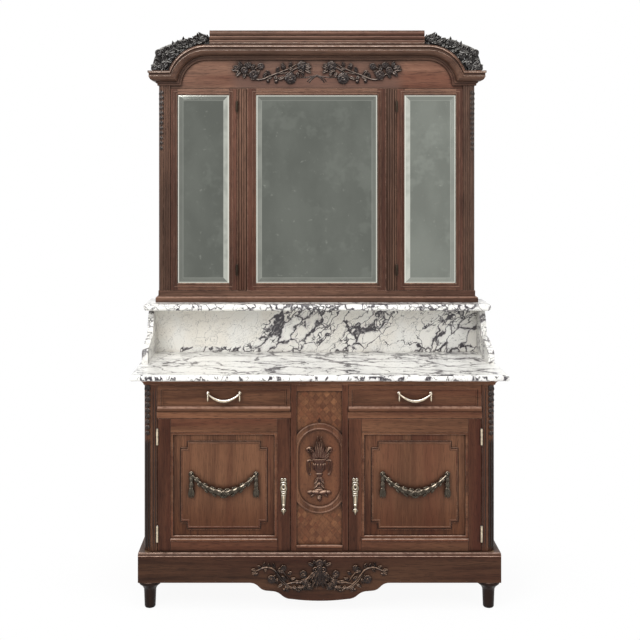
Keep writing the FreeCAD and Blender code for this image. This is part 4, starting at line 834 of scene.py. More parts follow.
# The height of the marble slab in metres.
SLAB_TOP = 0.842

# How the wood's figure is drawn out where the grain is upright and where it is level.
UPRIGHT = (1.0, 1.0, 0.05)
LEVEL = (0.05, 1.0, 1.0)

# What darkens the stiles of a frame, and the foot of a panel's field.
STILE_TONE = (0.6, 0.5, 0.5)
FOOT_TONE = (0.64, 0.54, 0.48)


def dress(name, nodes):
    """Gives CAD nodes a finish, in their material slots."""
    for node in names(nodes):
        mesh = NODES[node].data
        mesh.materials.clear()
        mesh.materials.append(bpy.data.materials[name])


def new_finish(name, nodes="", **constants):
    """A finish given to the nodes: its wiring, and its Principled shader's inputs set so."""
    made = bpy.data.materials.new(name)
    made.use_nodes = True
    dress(name, nodes)
    wires = Wiring(made.node_tree)
    skin = made.node_tree.nodes["Principled BSDF"].inputs
    wires.fill(skin, **constants)
    return wires, skin


def walnut(name, nodes, stretch, tone, joints=None, edge=0.6, hollow=0.85, ledge_highlight=0.55,
           faded=False, field=None, rubbed_and_highlit=None, dull=0.0):
    """Waxed walnut. Tone scales its figure, and joints are a frame's middle, half, low and high.

    A field is the middle, half width, height and half height of a notched field, whose lines
    are painted shade outside and a painted highlight inside. Up to dull from the middle the
    wood is greyer.
    """
    wood = bpy.context.scene.washstand_wood
    wires, skin = new_finish(
        name, nodes, Coat_Weight=wood.gloss, Coat_Roughness=0.22, Specular_IOR_Level=0.11
    )
    start = place = wires.place()
    if joints:
        middle, half, low, high = joints
        lay = wires.use("Joinery", Vector=place, Middle=middle, Half=half, Low=low, High=high)
        place = lay["Vector"]
    light = shade(wood.faded if faded else wood.light, tone)
    dark = shade(wood.shaded if faded else wood.dark, tone)
    figure = wires.use(
        "Wood figure", Vector=place, Stretch=stretch, Light=light, Dark=dark,
        Blush=shade(wood.blush, tone), Pores=0.5,
    )
    colour = figure["Colour"]
    if joints:
        stile = wires.blend(1.0, colour, STILE_TONE, "MULTIPLY")
        colour = wires.blend(lay["Rail"], stile, colour)
        colour = wires.blend(wires.times(lay["Joint"], 0.75), colour, wood.hollow)
    if field:
        middle, half, height, tall = field
        lines = wires.use(
            "Notched field", Vector=start, Middle=middle, Half=half, Height=height, Tall=tall,
            Notch=0.024,
        )
        colour = wires.blend(wires.times(lines["Inside"], 0.3), colour, light)
        foot = wires.between(wires.parts(start)[2], height, height - tall)
        colour = wires.blend(foot, colour, FOOT_TONE, "MULTIPLY")
        # A dark line just outside the field's edge is painted shade, and a pale line inside it a
        # painted highlight.
        colour = wires.blend(wires.times(lines["Quirk"], 0.8), colour, wood.hollow)
        colour = wires.blend(wires.times(lines["Rim"], 0.3), colour, wood.edge)
    if dull:
        away = wires.size(wires.parts(start)[0])
        grey = wires.between(away, dull, dull + 0.06, 0.55, 0.0)
        colour = wires.blend(grey, colour, shade(linear(98, 78, 70), 0.8))
    # Painted shade in the hollows, and pale wear with painted highlights on edges and ledges.
    wear_and_light = wires.use(
        "Age", Colour=colour, Hollow_Colour=wood.hollow, Edge_Colour=rubbed_and_highlit or wood.edge,
        Reach=0.03, Radius=0.0018, Hollow=hollow, Edge=edge, Ledge=ledge_highlight,
    )
    rough = wires.line(wear_and_light["Edge"], -0.1, wires.line(wear_and_light["Hollow"], 0.25, 0.38))
    normal = wires.bump(figure["Height"], wear_and_light["Normal"], 0.25, 0.0004)
    wires.fill(skin, Base_Color=wear_and_light["Colour"], Roughness=rough, Normal=normal)


def carved(name, nodes, stain, edge, shine, ledge_highlight=0.5, rub_and_glint=0.9):
    """Stained carving, with painted shade in the hollows and pale wear with painted highlights
    where it stands out and faces the light.
    """
    wires, skin = new_finish(
        name, nodes, Coat_Weight=0.1, Coat_Roughness=0.14, Specular_IOR_Level=0.2
    )
    figure = wires.use(
        "Wood figure", Vector=wires.place(), Stretch=(0.5, 1.0, 0.5), Light=shade(stain, 1.3),
        Dark=shade(stain, 0.7), Blush=stain, Pores=0.2,
    )
    wear_and_light = wires.use(
        "Age", Colour=figure["Colour"],
        Hollow_Colour=shade(bpy.context.scene.washstand_wood.hollow, 0.4), Edge_Colour=edge,
        Reach=0.01, Radius=0.001, Hollow=1.0, Edge=rub_and_glint, Ledge=ledge_highlight,
    )
    rough = wires.line(wear_and_light["Hollow"], 0.4, shine)
    normal = wires.bump(figure["Height"], wear_and_light["Normal"], 0.3, 0.0003)
    wires.fill(skin, Base_Color=wear_and_light["Colour"], Roughness=rough, Normal=normal)


def parquetry():
    """Lozenge parquetry: small diamonds whose grain leans both ways, round a plain oval.

    The oval is every point within a distance of an upright line, and a small inlaid drop
    hangs above it.
    """
    wood = bpy.context.scene.washstand_wood
    wires, skin = new_finish(
        "Lozenge parquetry", "center_panel", Coat_Weight=wood.gloss, Coat_Roughness=0.22,
        Specular_IOR_Level=0.16,
    )
    place = wires.place()
    lay = wires.use("Lozenges", Vector=place, Width=0.026, Height=0.029)
    x, _, z = wires.parts(place)
    beyond = wires.most(wires.minus(wires.gap(z, 0.504), 0.061), 0.0)
    away = wires.vector("LENGTH", wires.join(x, beyond, 0.0))
    laid = wires.above(away, 0.083)
    figure = wires.use(
        "Wood figure", Vector=wires.choose(laid, place, lay["Vector"]), Stretch=(1.0, 1.0, 0.25),
        Light=linear(136, 92, 62), Dark=linear(90, 56, 38), Blush=linear(112, 64, 42), Pores=0.5,
    )
    tone = wires.times(wires.times(lay["Tone"], laid), 0.42)
    joint = wires.times(wires.times(lay["Joint"], laid), 0.5)
    heart = wires.times(wires.minus(1.0, laid), 0.35)
    colour = wires.blend(tone, figure["Colour"], linear(74, 42, 29))
    colour = wires.blend(heart, colour, linear(84, 52, 38))
    drop_x = wires.over(wires.size(x), 0.008)
    drop_z = wires.over(wires.gap(z, 0.672), 0.013)
    drop = wires.between(wires.plus(drop_x, drop_z), 0.75, 1.05, 0.75, 0.0)
    colour = wires.blend(wires.most(joint, drop), colour, wood.hollow)
    # Painted shade in the hollows, and pale wear with painted highlights on edges and ledges.
    wear_and_light = wires.use(
        "Age", Colour=colour, Hollow_Colour=wood.hollow, Edge_Colour=wood.edge,
        Reach=0.03, Radius=0.001, Hollow=0.8, Edge=0.3, Ledge=0.3,
    )
    rough = wires.line(lay["Joint"], 0.3, 0.36)
    normal = wires.bump(figure["Height"], wear_and_light["Normal"], 0.3, 0.0004)
    wires.fill(skin, Base_Color=wear_and_light["Colour"], Roughness=rough, Normal=normal)


def inner_wood(nodes):
    """Plain pale wood, a little grey, for what is inside and behind."""
    pine = bpy.context.scene.washstand_wood.pine
    wires, skin = new_finish("Inner wood", nodes, Specular_IOR_Level=0.25)
    figure = wires.use(
        "Wood figure", Vector=wires.place(), Stretch=LEVEL, Light=pine, Dark=shade(pine, 0.62),
        Blush=shade(pine, 0.8), Pores=0.25,
    )
    # Painted shade in hollows and corners.
    wear_and_light = wires.use(
        "Age", Colour=figure["Colour"], Hollow_Colour=linear(70, 52, 36), Edge_Colour=pine,
        Reach=0.05, Radius=0.0008, Hollow=0.7, Edge=0.3, Ledge=0.0,
    )
    rough = wires.line(wear_and_light["Hollow"], 0.2, 0.6)
    normal = wires.bump(figure["Height"], wear_and_light["Normal"], 0.5, 0.0006)
    wires.fill(skin, Base_Color=wear_and_light["Colour"], Roughness=rough, Normal=normal)


def marble(name, nodes, lay, stretch, scale, width, slant, stops, cloudy, dark=1.0, crush=1.9,
           nose=None, foot=None):
    """Polished marble. Lay turns the veins, and the stops say how busy they are along x.

    The place on the ramp is x less slant times the height over the slab. Crush widens the
    veins between the small cells. In front of the nose the veins are wider and lie closer
    along x. A foot is the left, right and height of a strip that is busy too.
    """
    stone = bpy.context.scene.washstand_marble
    wires, skin = new_finish(
        name, nodes, Coat_Weight=0.2, Coat_Roughness=0.06, Specular_IOR_Level=0.4
    )
    place = wires.place()
    x, y, z = wires.parts(place)
    along = wires.minus(x, wires.times(wires.minus(z, SLAB_TOP), slant))
    sway = wires.line(wires.noise(place, 8.0, 3.0), 0.1, -0.05)
    busy = wires.ramp(wires.plus(along, wires.plus(sway, 0.675)), stops, 1.35)
    if foot:
        left, right, height = foot
        after = wires.between(x, left, left + 0.04)
        before = wires.between(x, right, right + 0.04, 1.0, 0.0)
        strip = wires.times(wires.times(after, before), wires.between(z, height, height - 0.01))
        busy = wires.most(busy, strip)
    if nose is not None:
        closer = wires.between(y, nose, nose - 0.001, 1.0, 2.2)
        width = wires.between(y, nose, nose - 0.001, width, width * 1.6)
        place = wires.join(wires.times(x, closer), y, z)
    veins = wires.use(
        "Marble veins", Vector=place, Lay=lay, Stretch=stretch, Scale=scale, Width=width,
        Busy=busy, Crush=crush,
    )
    calm = wires.minus(1.0, busy)
    mist = wires.between(wires.noise(place, 5.0, 5.0, 0.6), 0.3, 0.6)
    cloud = wires.times(wires.line(calm, 0.75, 0.25), mist)
    odd = wires.between(veins["Shard"], 0.55, 0.75, 0.0, 0.6)
    cloud = wires.times(wires.most(cloud, wires.times(odd, busy)), cloudy)
    colour = wires.blend(cloud, stone.ground, stone.cloud)
    speckle = wires.times(wires.times(veins["Speckle"], cloud), 0.4)
    colour = wires.blend(speckle, colour, linear(140, 132, 122))
    colour = wires.blend(wires.times(veins["Haze"], 0.3), colour, linear(168, 160, 166))
    colour = wires.blend(wires.times(veins["Vein"], dark), colour, stone.vein)
    # Painted shade where the stone closes in, as under the shelf.
    wear_and_light = wires.use(
        "Age", Colour=colour, Hollow_Colour=linear(150, 142, 126), Edge_Colour=stone.ground,
        Reach=0.02, Radius=0.0014, Hollow=0.2, Edge=0.3, Ledge=0.0,
    )
    rough = wires.line(veins["Vein"], 0.12, 0.16)
    wires.fill(skin, Base_Color=wear_and_light["Colour"], Roughness=rough, Normal=wear_and_light["Normal"])


def mirror_glass(node, tone, levels):
    """Painted reflection: a softly mottled grey stands for what the mirror shows, inside four
    bevels whose different levels are painted reflections too.

    Tone scales the silvering's tone, and the levels are those of the left, right, low and high
    bevel.
    """
    glass = bpy.context.scene.washstand_glass
    low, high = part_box(node)
    wires, skin = new_finish("Silvered " + node, node, Metallic=1.0)
    place = wires.place()
    rim = wires.use(
        "Pane rim", Vector=place, Centre=(low + high) / 2, Half=(high - low) / 2,
        **dict(zip(("Left", "Right", "Low", "High"), levels)),
    )
    silver = np.array(glass.silver) * tone
    mottle = wires.noise(wires.vector("MULTIPLY", place, (1.0, 1.0, 0.6)), 5.0, 4.0, 0.55)
    patch = wires.between(wires.noise(place, 9.0, 3.0, 0.7), 0.52, 0.66, 0.0, 0.35)
    spots = wires.between(wires.noise(place, 42.0, 4.0, 0.6), 0.62, 0.74)
    colour = wires.blend(wires.between(mottle, 0.36, 0.66), silver * 0.9, silver * 1.1)
    colour = wires.blend(patch, colour, silver * 1.45)
    colour = wires.blend(wires.times(spots, 0.16), colour, glass.bevel)
    inside = rim["Inside"]
    # The bevelled band is as light as its side's painted reflection.
    band = wires.between(inside, glass.width, glass.width + 0.003, 1.0, 0.0)
    streak = wires.noise(wires.vector("MULTIPLY", place, (6.0, 1.0, 6.0)), 3.0, 2.0)
    level = wires.times(rim["Level"], wires.between(streak, 0.3, 0.6, 0.8, 1.15))
    bevel_reflection = wires.blend(level, silver * 0.95, glass.bevel)
    colour = wires.blend(wires.times(band, 0.9), colour, bevel_reflection)
    # A faint pale line at the bevel's step: painted highlight.
    step = wires.gap(inside, glass.width + 0.001)
    colour = wires.blend(wires.between(step, 0.0004, 0.0022, 0.16, 0.0), colour, glass.bevel)
    # A pale line near the pane's edge: painted highlight.
    line = wires.between(inside, 0.004, 0.007, 0.8, 0.0)
    colour = wires.blend(line, colour, linear(230, 229, 218))
    wires.fill(skin, Base_Color=colour, Roughness=wires.line(mottle, 0.12, 0.05))


def metal(name, nodes, colour, dull, worn=0.9, under=0.6, dark_above=9.0, rubbed_and_highlit=2.0):
    """Cast metal, tarnished dark in its hollows, with painted shade on its undersides, and pale
    wear with painted highlights on its edges and ledges.

    Above the given height it is dull all over. Under is the share of painted shade below, and
    its wear-and-highlight factor scales the colour of its edges.
    """
    tarnish = bpy.context.scene.washstand_metal.tarnish
    wires, skin = new_finish(name, nodes)
    place = wires.place()
    cloud = wires.noise(place, 90.0, 4.0)
    base = wires.blend(wires.between(cloud, 0.35, 0.7), shade(colour, 0.65), colour)
    wear_and_light = wires.use(
        "Age", Colour=base, Hollow_Colour=tarnish,
        Edge_Colour=np.clip(shade(colour, rubbed_and_highlit), 0, 1), Reach=0.01, Radius=0.0005,
        Hollow=worn, Edge=0.8, Ledge=0.8,
    )
    # Undersides, which face away from the light, darken: painted shade.
    below = wires.between(wear_and_light["Up"], 0.35, -0.6, 0.0, under)
    high = wires.between(wires.parts(place)[2], dark_above, dark_above + 0.05, 0.0, 0.97)
    wires.fill(
        skin, Base_Color=wires.blend(wires.most(below, high), wear_and_light["Colour"], tarnish),
        Metallic=wires.line(wear_and_light["Hollow"], -0.5, 1.0),
        Roughness=wires.line(wear_and_light["Hollow"], 0.4, dull),
        Normal=wires.bump(cloud, wear_and_light["Normal"], 0.2, 0.0003),
    )


# How busy the marble is: places along x in metres from its left end, and levels.
TOP_STOPS = ((0.0, 0.5), (0.36, 0.6), (0.5, 1.0), (1.0, 1.0))
SPLASH_STOPS = (
    (0.0, 0.04), (0.36, 0.06), (0.39, 1.0), (0.55, 0.95), (0.64, 0.55), (0.7, 0.3),
    (0.76, 0.95), (0.84, 0.75), (0.88, 0.12), (1.02, 0.12), (1.06, 0.8), (1.3, 0.9),
)
SHELF_STOPS = ((0.0, 0.5), (0.36, 0.6), (0.75, 1.0), (1.2, 1.0))
BRACKET_STOPS = ((0.0, 0.8), (1.3, 0.9))


class WASHSTAND_OT_finishes(bpy.types.Operator):
    """Builds the shader groups and materials, and gives them to the CAD nodes"""

    bl_idname = "washstand.finishes"
    bl_label = "Finishes"

    def execute(self, context):
        for build in GROUPS:
            build()
        self.build_walnut()
        self.build_carved(context.scene.washstand_wood)
        self.build_marble()
        self.build_metal(context.scene.washstand_metal)
        parquetry()
        inner_wood("drawer_{}_box back_boards cupboard_shelves mirror_backboard partitions"
                   " bottom_board")
        # Each pane's tone and its left, right, low and high bevels' levels are painted
        # reflections.
        mirror_glass("center_glass", 1.0, (0.3, 0.12, 0.12, 0.06))
        mirror_glass("wing_left_glass", 0.98, (0.1, 0.7, 0.12, 0.08))
        mirror_glass("wing_right_glass", 1.5, (0.9, 0.22, 0.25, 0.06))
        bare = [name for name, node in NODES.items() if not node.data.materials]
        if bare:
            raise RuntimeError(f"no finish for {bare}")
        return {"FINISHED"}

    def build_walnut(self):
        # Each walnut finish gets painted shade in its hollows and painted highlights on edges and
        # ledges.
        walnut("Walnut posts", "corner_post_{}", UPRIGHT, 0.6, hollow=0.5)
        walnut("Walnut side frames", "side_frames", UPRIGHT, 0.6)
        walnut("Walnut level", "carcass_rails top_moulding", LEVEL, 1.06, ledge_highlight=0.5)
        walnut("Walnut plinth", "plinth_front plinth_sides", LEVEL, 0.38, edge=0.4, ledge_highlight=0.12)
        walnut("Walnut feet", "feet", UPRIGHT, 0.1, edge=0.5, ledge_highlight=0.4)
        walnut("Walnut door panels", "door_{}_panel", UPRIGHT, 0.84,
               field=(0.3425, 0.154, 0.441, 0.1535))
        walnut("Walnut drawer fronts", "drawer_{}_front", LEVEL, 0.8)
        walnut("Walnut door frames", "door_{}_frame", UPRIGHT, 0.8,
               (0.3425, 0.191, 0.2505, 0.6315), 0.3)
        walnut("Walnut centre frame", "center_frame", UPRIGHT, 0.98,
               (0.0, 0.082, 0.226, 0.78), 0.4, ledge_highlight=0.9)
        walnut("Walnut medallion ring", "medallion_ring", UPRIGHT, 0.8, edge=0.3, ledge_highlight=0.35)
        walnut("Walnut head", "cornice", LEVEL, 0.4, edge=0.3, ledge_highlight=0.12, faded=True)
        walnut("Walnut base", "mirror_base", LEVEL, 0.57, ledge_highlight=0.4, faded=True)
        walnut("Walnut frieze", "frieze_board", LEVEL, 0.84, faded=True, dull=0.3)
        walnut("Walnut mirror posts", "mirror_posts", UPRIGHT, 0.38, faded=True)
        walnut("Walnut mullions", "mirror_mullions", UPRIGHT, 0.48, faded=True)
        walnut("Walnut wing frames", "wing_{}_frame", UPRIGHT, 0.62,
               (0.4485, 0.102, 1.122, 1.867), faded=True)
        walnut("Walnut centre mirror", "center_mirror_frame", UPRIGHT, 0.62,
               (0.0, 0.24, 1.122, 1.867), faded=True)
        walnut("Walnut beads", "", LEVEL, 0.78, edge=0.35, ledge_highlight=0.35)
        # The sills and head beads carry strong painted highlights along their ledges and edges.
        walnut("Walnut sills", "door_{}_moulding", LEVEL, 0.92, edge=0.5, ledge_highlight=1.0,
               rubbed_and_highlit=linear(226, 192, 172))
        walnut("Walnut mirror beads", "", UPRIGHT, 0.5, edge=0.8, faded=True)
        walnut("Walnut head beads", "", LEVEL, 0.6, edge=0.8, ledge_highlight=0.9, faded=True,
               rubbed_and_highlit=linear(232, 212, 196))

    def build_carved(self, wood):
        # The pale edge colours are painted highlights on the carvings, with some pale wear.
        carved("Carved walnut", "frieze_carving urn_carving", linear(31, 22, 20),
               linear(220, 196, 180), 0.2, 0.36, 0.36)
        carved("Carved apron", "apron_carving", linear(30, 18, 14), linear(226, 184, 154),
               0.2, 0.34, 0.28)
        carved("Carved corners", "corner_carvings", wood.corner, linear(226, 222, 214),
               0.14, 0.36, 0.3)
        carved("Carved medallion", "", linear(70, 41, 29), linear(224, 184, 156),
               0.24, 0.65, 0.6)
        carved("Carved posts", "", linear(40, 31, 28), linear(156, 142, 132), 0.3)

    def build_marble(self):
        marble("Marble top", "marble_top", (0, 0, 0.12), (0.36, 1.0, 1.0), 10.5, 0.044, 0.0,
               TOP_STOPS, 0.05, crush=1.2, nose=-0.257)
        marble("Marble splash", "splashback", (0, 0.8, 0), (0.45, 1.0, 1.2), 20.0, 0.075, 0.9,
               SPLASH_STOPS, 1.0, crush=1.6, foot=(-0.56, -0.3, 0.866))
        marble("Marble shelf", "marble_shelf", (0, 0.3, 0), (0.9, 1.0, 1.0), 22.0, 0.065, 0.0,
               SHELF_STOPS, 0.2)
        marble("Marble brackets", "marble_brackets", (0.6, 0.5, 0), (0.8, 1.0, 1.0), 20.0,
               0.06, 0.0, BRACKET_STOPS, 0.3, 0.9)

    def build_metal(self, metals):
        brass = metals.brass
        metal("Brass", "drawer_{}_pull door_{}_hinge_leaves", brass, 0.24)
        # The garlands' pale edges and ledges are strong painted highlights.
        metal("Bronze", "door_{}_swag", metals.bronze, 0.26, 1.0, 0.9, rubbed_and_highlit=5.5)
        metal("Old brass", "door_{}_escutcheon", shade(brass, 0.3), 0.35, 1.0)
        metal("Dull brass", "wing_{}_hinge_leaves", shade(brass, 0.07), 0.5, 1.0, 1.0)
        metal("Hinge brass", "fixed_hinge_leaves", brass, 0.3, dark_above=1.0)
        metal("Iron", "door_{}_lock lock_bolt_{}", metals.iron, 0.5)


# The stage


# Lamps: name, place, aim, size and share of the main lamp's power.
LAMPS = (
    ("Main lamp", (-1.9, -3.0, 3.3), (0.0, 0.0, 1.1), 2.4, 1.0),
    ("Fill lamp", (2.7, -2.8, 2.0), (0.0, 0.0, 1.0), 2.2, 0.35),
    ("Top lamp", (0.0, -0.9, 3.6), (0.0, 0.0, 0.8), 2.0, 0.5),
)

# The camera stands level where the photograph was taken, and its lens is shifted to the framing.
CAMERA_PLACE = (-0.1006, -4.010, 1.590)
CAMERA_SHIFT = (0.0448, -0.2422)
SENSOR_WIDTH = 36.0
FLOOR_REACH = 9


class WASHSTAND_OT_stage(bpy.types.Operator):
    """Floor, white surroundings, soft lamps and the camera"""

    bl_idname = "washstand.stage"
    bl_label = "Stage"

    def execute(self, context):
        settings = context.scene.washstand_stage
        self.floor(settings)
        self.world(settings)
        for name, place, aim, size, share in LAMPS:
            self.lamp(name, place, aim, size, settings.key * share)
        self.camera(settings)
        context.scene.view_settings.view_transform = "Standard"
        return {"FINISHED"}

    def floor(self, settings):
        mesh = bpy.data.meshes.new("floor")
        corners = rectangle(-FLOOR_REACH, FLOOR_REACH, -FLOOR_REACH, FLOOR_REACH)
        mesh.from_pydata([(x, y, 0) for x, y in corners], [], [(0, 1, 2, 3)])
        floor = bpy.data.objects.new("floor", mesh)
        bpy.context.scene.collection.objects.link(floor)
        wires, _ = new_finish(
            "Paper floor", Base_Color=settings.paper, Roughness=0.9, Specular_IOR_Level=0.1
        )
        mesh.materials.append(bpy.data.materials["Paper floor"])
        glow = wires.node("ShaderNodeEmission", {"Color": settings.paper, "Strength": 1.0})
        away = wires.vector("LENGTH", wires.vector("MULTIPLY", wires.place(), (0.8, 1.6, 0.0)))
        share = wires.times(wires.seen(), wires.between(away, 0.4, 1.1, 0.93, 1.0))
        wires.surface("Material Output", share, wires.tree.nodes["Principled BSDF"], glow)

    def world(self, settings):
        world = bpy.data.worlds.new("Studio")
        world.use_nodes = True
        bpy.context.scene.world = world
        wires = Wiring(world.node_tree)
        plain = world.node_tree.nodes["Background"]
        wires.fill(plain.inputs, Color=(1.0, 1.0, 1.0), Strength=settings.sky)
        white = wires.node("ShaderNodeBackground", {"Color": settings.paper, "Strength": 1.0})
        wires.surface("World Output", wires.seen(), plain, white)

    def lamp(self, name, place, aim, size, power):
        light = bpy.data.lights.new(name, "AREA")
        light.shape = "DISK"
        light.size = size
        light.energy = power
        lamp = bpy.data.objects.new(name, light)
        lamp.location = place
        way = Vector(aim) - Vector(place)
        lamp.rotation_euler = way.to_track_quat("-Z", "Y").to_euler()
        bpy.context.scene.collection.objects.link(lamp)

    def camera(self, settings):
        view = bpy.data.cameras.new("Camera")
        view.lens = settings.lens
        view.sensor_width = SENSOR_WIDTH
        view.shift_x, view.shift_y = CAMERA_SHIFT
        camera = bpy.data.objects.new("Camera", view)
        camera.location = CAMERA_PLACE
        camera.rotation_euler = (math.radians(90), 0.0, 0.0)
        bpy.context.scene.collection.objects.link(camera)
        bpy.context.scene.camera = camera


# Carvings, mouldings and metalwork


# The carved band on a shoulder: angle in degrees, and its inner and outer radius.
CORNER_BAND = (
    (14, 148, 232), (19, 148, 238), (26, 148, 243), (36, 148, 250), (41, 148, 238),
    (49, 149, 220), (54, 150, 216), (64, 150, 210), (73, 150, 209), (89, 150, 208),
    (98, 154, 206),
)

# Flowers of a corner carving: angle, share of the way across the band, and radius.
CORNER_FLOWERS = (
    (19, 0.74, 15), (34, 0.78, 15), (47, 0.68, 13), (62, 0.62, 12), (86, 0.52, 14),
    (26, 0.36, 15), (40, 0.32, 14), (74, 0.40, 12),
)


class WASHSTAND_OT_corner_carvings(bpy.types.Operator):
    """Flowers, berries and leaves heaped on both shoulders of the head"""

    bl_idname = "washstand.corner_carvings"
    bl_label = "Corner carvings"

    def execute(self, context):
        ground = box_mm("corner_carvings")[1][1] - 9.0
        chance = np.random.default_rng(11)
        blocks = []
        for share, radius, last in ((0.2, 13.0, 97), (0.48, 15.0, 97), (0.74, 14.0, 62)):
            spine = self.spot(np.linspace(15, last, 14), share)
            blocks += stem(spine, ground, radius, 0.6, 0.0, 40, 12, 0.8)
        blocks += self.fan(ground, chance, 24, 0.52, 52, 32, 0.54, 3.0)
        blocks += self.fan(ground, chance, 16, 0.45, 235, 45, 0.42, 8.0)
        blocks += self.fan(ground, chance, 20, 0.42, 40, 60, 0.46, 11.0)
        for angle, share, size in CORNER_FLOWERS:
            x, z = self.spot(angle, share)
            blocks += flower(x, z, size, ground, 5, 13.0, angle * 3)
        blocks += self.berries(ground, chance)
        make_piece(
            "corner_leafage", mirrored(blocks), "stand", "Carved corners",
            ["corner_carvings"],
        )
        return {"FINISHED"}

    def spot(self, angle, share):
        """The place on the shoulder at an angle, a share of the way across the carved band."""
        table = np.array(CORNER_BAND).T
        inner, outer = (np.interp(angle, table[0], row) for row in table[1:])
        return on_arch(inner + (outer - inner) * share, np.radians(angle))

    def fan(self, ground, chance, count, share, turn, spread, length, stand):
        """Leaves whose feet lie round a share of the way across the band.

        A leaf's heading is turn plus a chance part of spread, and its length is a share of the
        band's width.
        """
        angle = np.linspace(18, 93, count) + chance.uniform(-2, 2, count)
        feet = share + chance.uniform(-0.06, 0.06, count)
        table = np.array(CORNER_BAND).T
        width = np.interp(angle, table[0], table[2] - table[1])
        place = self.spot(angle, feet)
        long = np.clip(width * length * chance.uniform(0.8, 1.05, count), 18, 38)
        rows = rows_of(
            *place.T, turn + chance.uniform(-1, 1, count) * spread, long,
            long * chance.uniform(0.4, 0.55, count), chance.uniform(-30, 30, count),
            chance.uniform(3, 8, count), 1,
        )
        return leaves(rows, ground, 6.5, 0.85, 2.0, stand)

    def berries(self, ground, chance):
        """Round berries strewn over the band."""
        count = 14
        angle = np.linspace(17, 95, count) + chance.uniform(-3, 3, count)
        place = self.spot(angle, chance.uniform(0.15, 0.8, count))
        return beads(rows_of(*place.T, 0, 5.0, 5.0, 5.0, 18.0), ground)


# One half of the frieze's branch: leaves as foot x, foot z, heading, length, width, curl,
# lift and lobes, and stems as their points and radius.
FRIEZE_LEAVES = (
    (296, 1973, 62, 26, 13, 20, 4, 2), (300, 1971, 22, 30, 13, -20, 4, 2),
    (305, 1965, -4, 30, 12, 15, 3, 2), (300, 1960, -42, 26, 13, -15, 4, 2),
    (286, 1972, 112, 24, 12, 20, 3, 2), (270, 1968, 80, 27, 12, 25, 4, 2),
    (262, 1967, 138, 26, 11, -20, 3, 2), (282, 1956, -78, 24, 12, 15, 3, 2),
    (263, 1948, -115, 20, 11, -15, 3, 2), (246, 1956, 60, 24, 12, 10, 3, 2),
    (228, 1966, -70, 18, 10, -10, 3, 2), (236, 1936, -25, 24, 11, 20, 3, 2),
    (211, 1934, 112, 24, 10, 20, 3, 1), (184, 1944, 62, 24, 10, -25, 3, 1),
    (163, 1944, -95, 18, 10, 15, 3, 1), (158, 1954, 100, 24, 11, 20, 3, 1),
    (132, 1966, 78, 26, 12, 20, 4, 2), (110, 1976, 122, 22, 11, -20, 4, 2),
    (122, 1972, 40, 24, 11, 10, 4, 2), (128, 1938, -30, 24, 11, 20, 3, 2),
    (120, 1926, -150, 22, 10, -15, 3, 2), (84, 1940, -62, 20, 10, 20, 3, 2),
    (90, 1962, 16, 22, 10, 20, 3, 2), (78, 1957, -102, 22, 11, -20, 4, 2),
    (74, 1965, 198, 26, 11, 20, 4, 2), (50, 1972, 176, 28, 11, -20, 4, 2),
    (46, 1965, 203, 26, 11, 10, 4, 2), (48, 1979, 150, 22, 10, 20, 3, 2),
    (62, 1960, 235, 22, 10, 15, 3, 2), (176, 1938, -20, 20, 9, 15, 2, 1),
)

FRIEZE_STEMS = (
    (((76, 1990), (104, 1973), (142, 1957), (179, 1943), (216, 1928), (249, 1930),
      (277, 1951), (303, 1967)), 3.2),
    (((60, 1976), (80, 1972), (104, 1958), (132, 1933), (160, 1928)), 3.0),
    (((110, 1955), (150, 1950), (190, 1940), (214, 1929)), 2.2),
    (((193, 1938), (194, 1930), (193, 1924)), 1.6),
    (((160, 1936), (160, 1928), (160, 1922)), 1.6),
    (((270, 1950), (256, 1958), (240, 1972), (222, 1978)), 2.2),
)

# Flowers as their centre, radius, how far they stand out, and turn in degrees.
FRIEZE_FLOWERS = (
    (249, 1946, 18, 5.0, 18), (221, 1979, 14, 4.5, 40), (286, 1963, 15, 6.0, 0),
    (268, 1984, 12, 5.0, 30),
)

FRIEZE_RIBBON = (
    (((70, 1937), (46, 1936), (22, 1940), (0, 1943)), 2.0),
    (((0, 1942), (14, 1934), (26, 1922), (30, 1914)), 2.4),
    (((4, 1942), (16, 1938), (32, 1928), (38, 1918)), 2.0),
)


class WASHSTAND_OT_frieze_carving(bpy.types.Operator):
    """Two branches of roses and leaves on the frieze, tied with a ribbon"""

    bl_idname = "washstand.frieze_carving"
    bl_label = "Frieze carving"

    def execute(self, context):
        ground = box_mm("frieze_carving")[1][1] + 0.4
        grown = np.array(FRIEZE_LEAVES, dtype=float) * (1, 1, 1, 1.12, 1.35, 1, 1.5, 1)
        blocks = leaves(grown, ground, 6.0, 0.85, 1.8, 2.6)
        for line, radius in FRIEZE_STEMS:
            blocks += stem(line, ground, radius * 1.2, 1.2, 3.0, 30, 8, 0.5)
        for line, radius in FRIEZE_RIBBON:
            blocks += stem(line, ground, radius, 0.6, 1.2, 20, 8, 0.8)
        blocks += rose(104, 1932, 23, ground, 3.0, 10)
        blocks += rose(58, 1981, 20, ground, 3.0, 40)
        for x, z, radius, stand, turn in FRIEZE_FLOWERS:
            blocks += flower(x, z, radius, ground, 5, stand, turn)
        blocks += beads(
            [(193, 1921, 90, 8, 7, 7, 4), (160, 1919, 90, 7.5, 7, 7, 4),
             (307, 1985, 70, 7, 5, 5, 5), (318, 1976, 20, 7, 5, 5, 5),
             (0, 1943, 0, 5, 4, 4, 2)],
            ground,
        )
        make_piece(
            "frieze_branches", mirrored(blocks), "stand", "Carved walnut",
            ["frieze_carving"],
        )
        return {"FINISHED"}


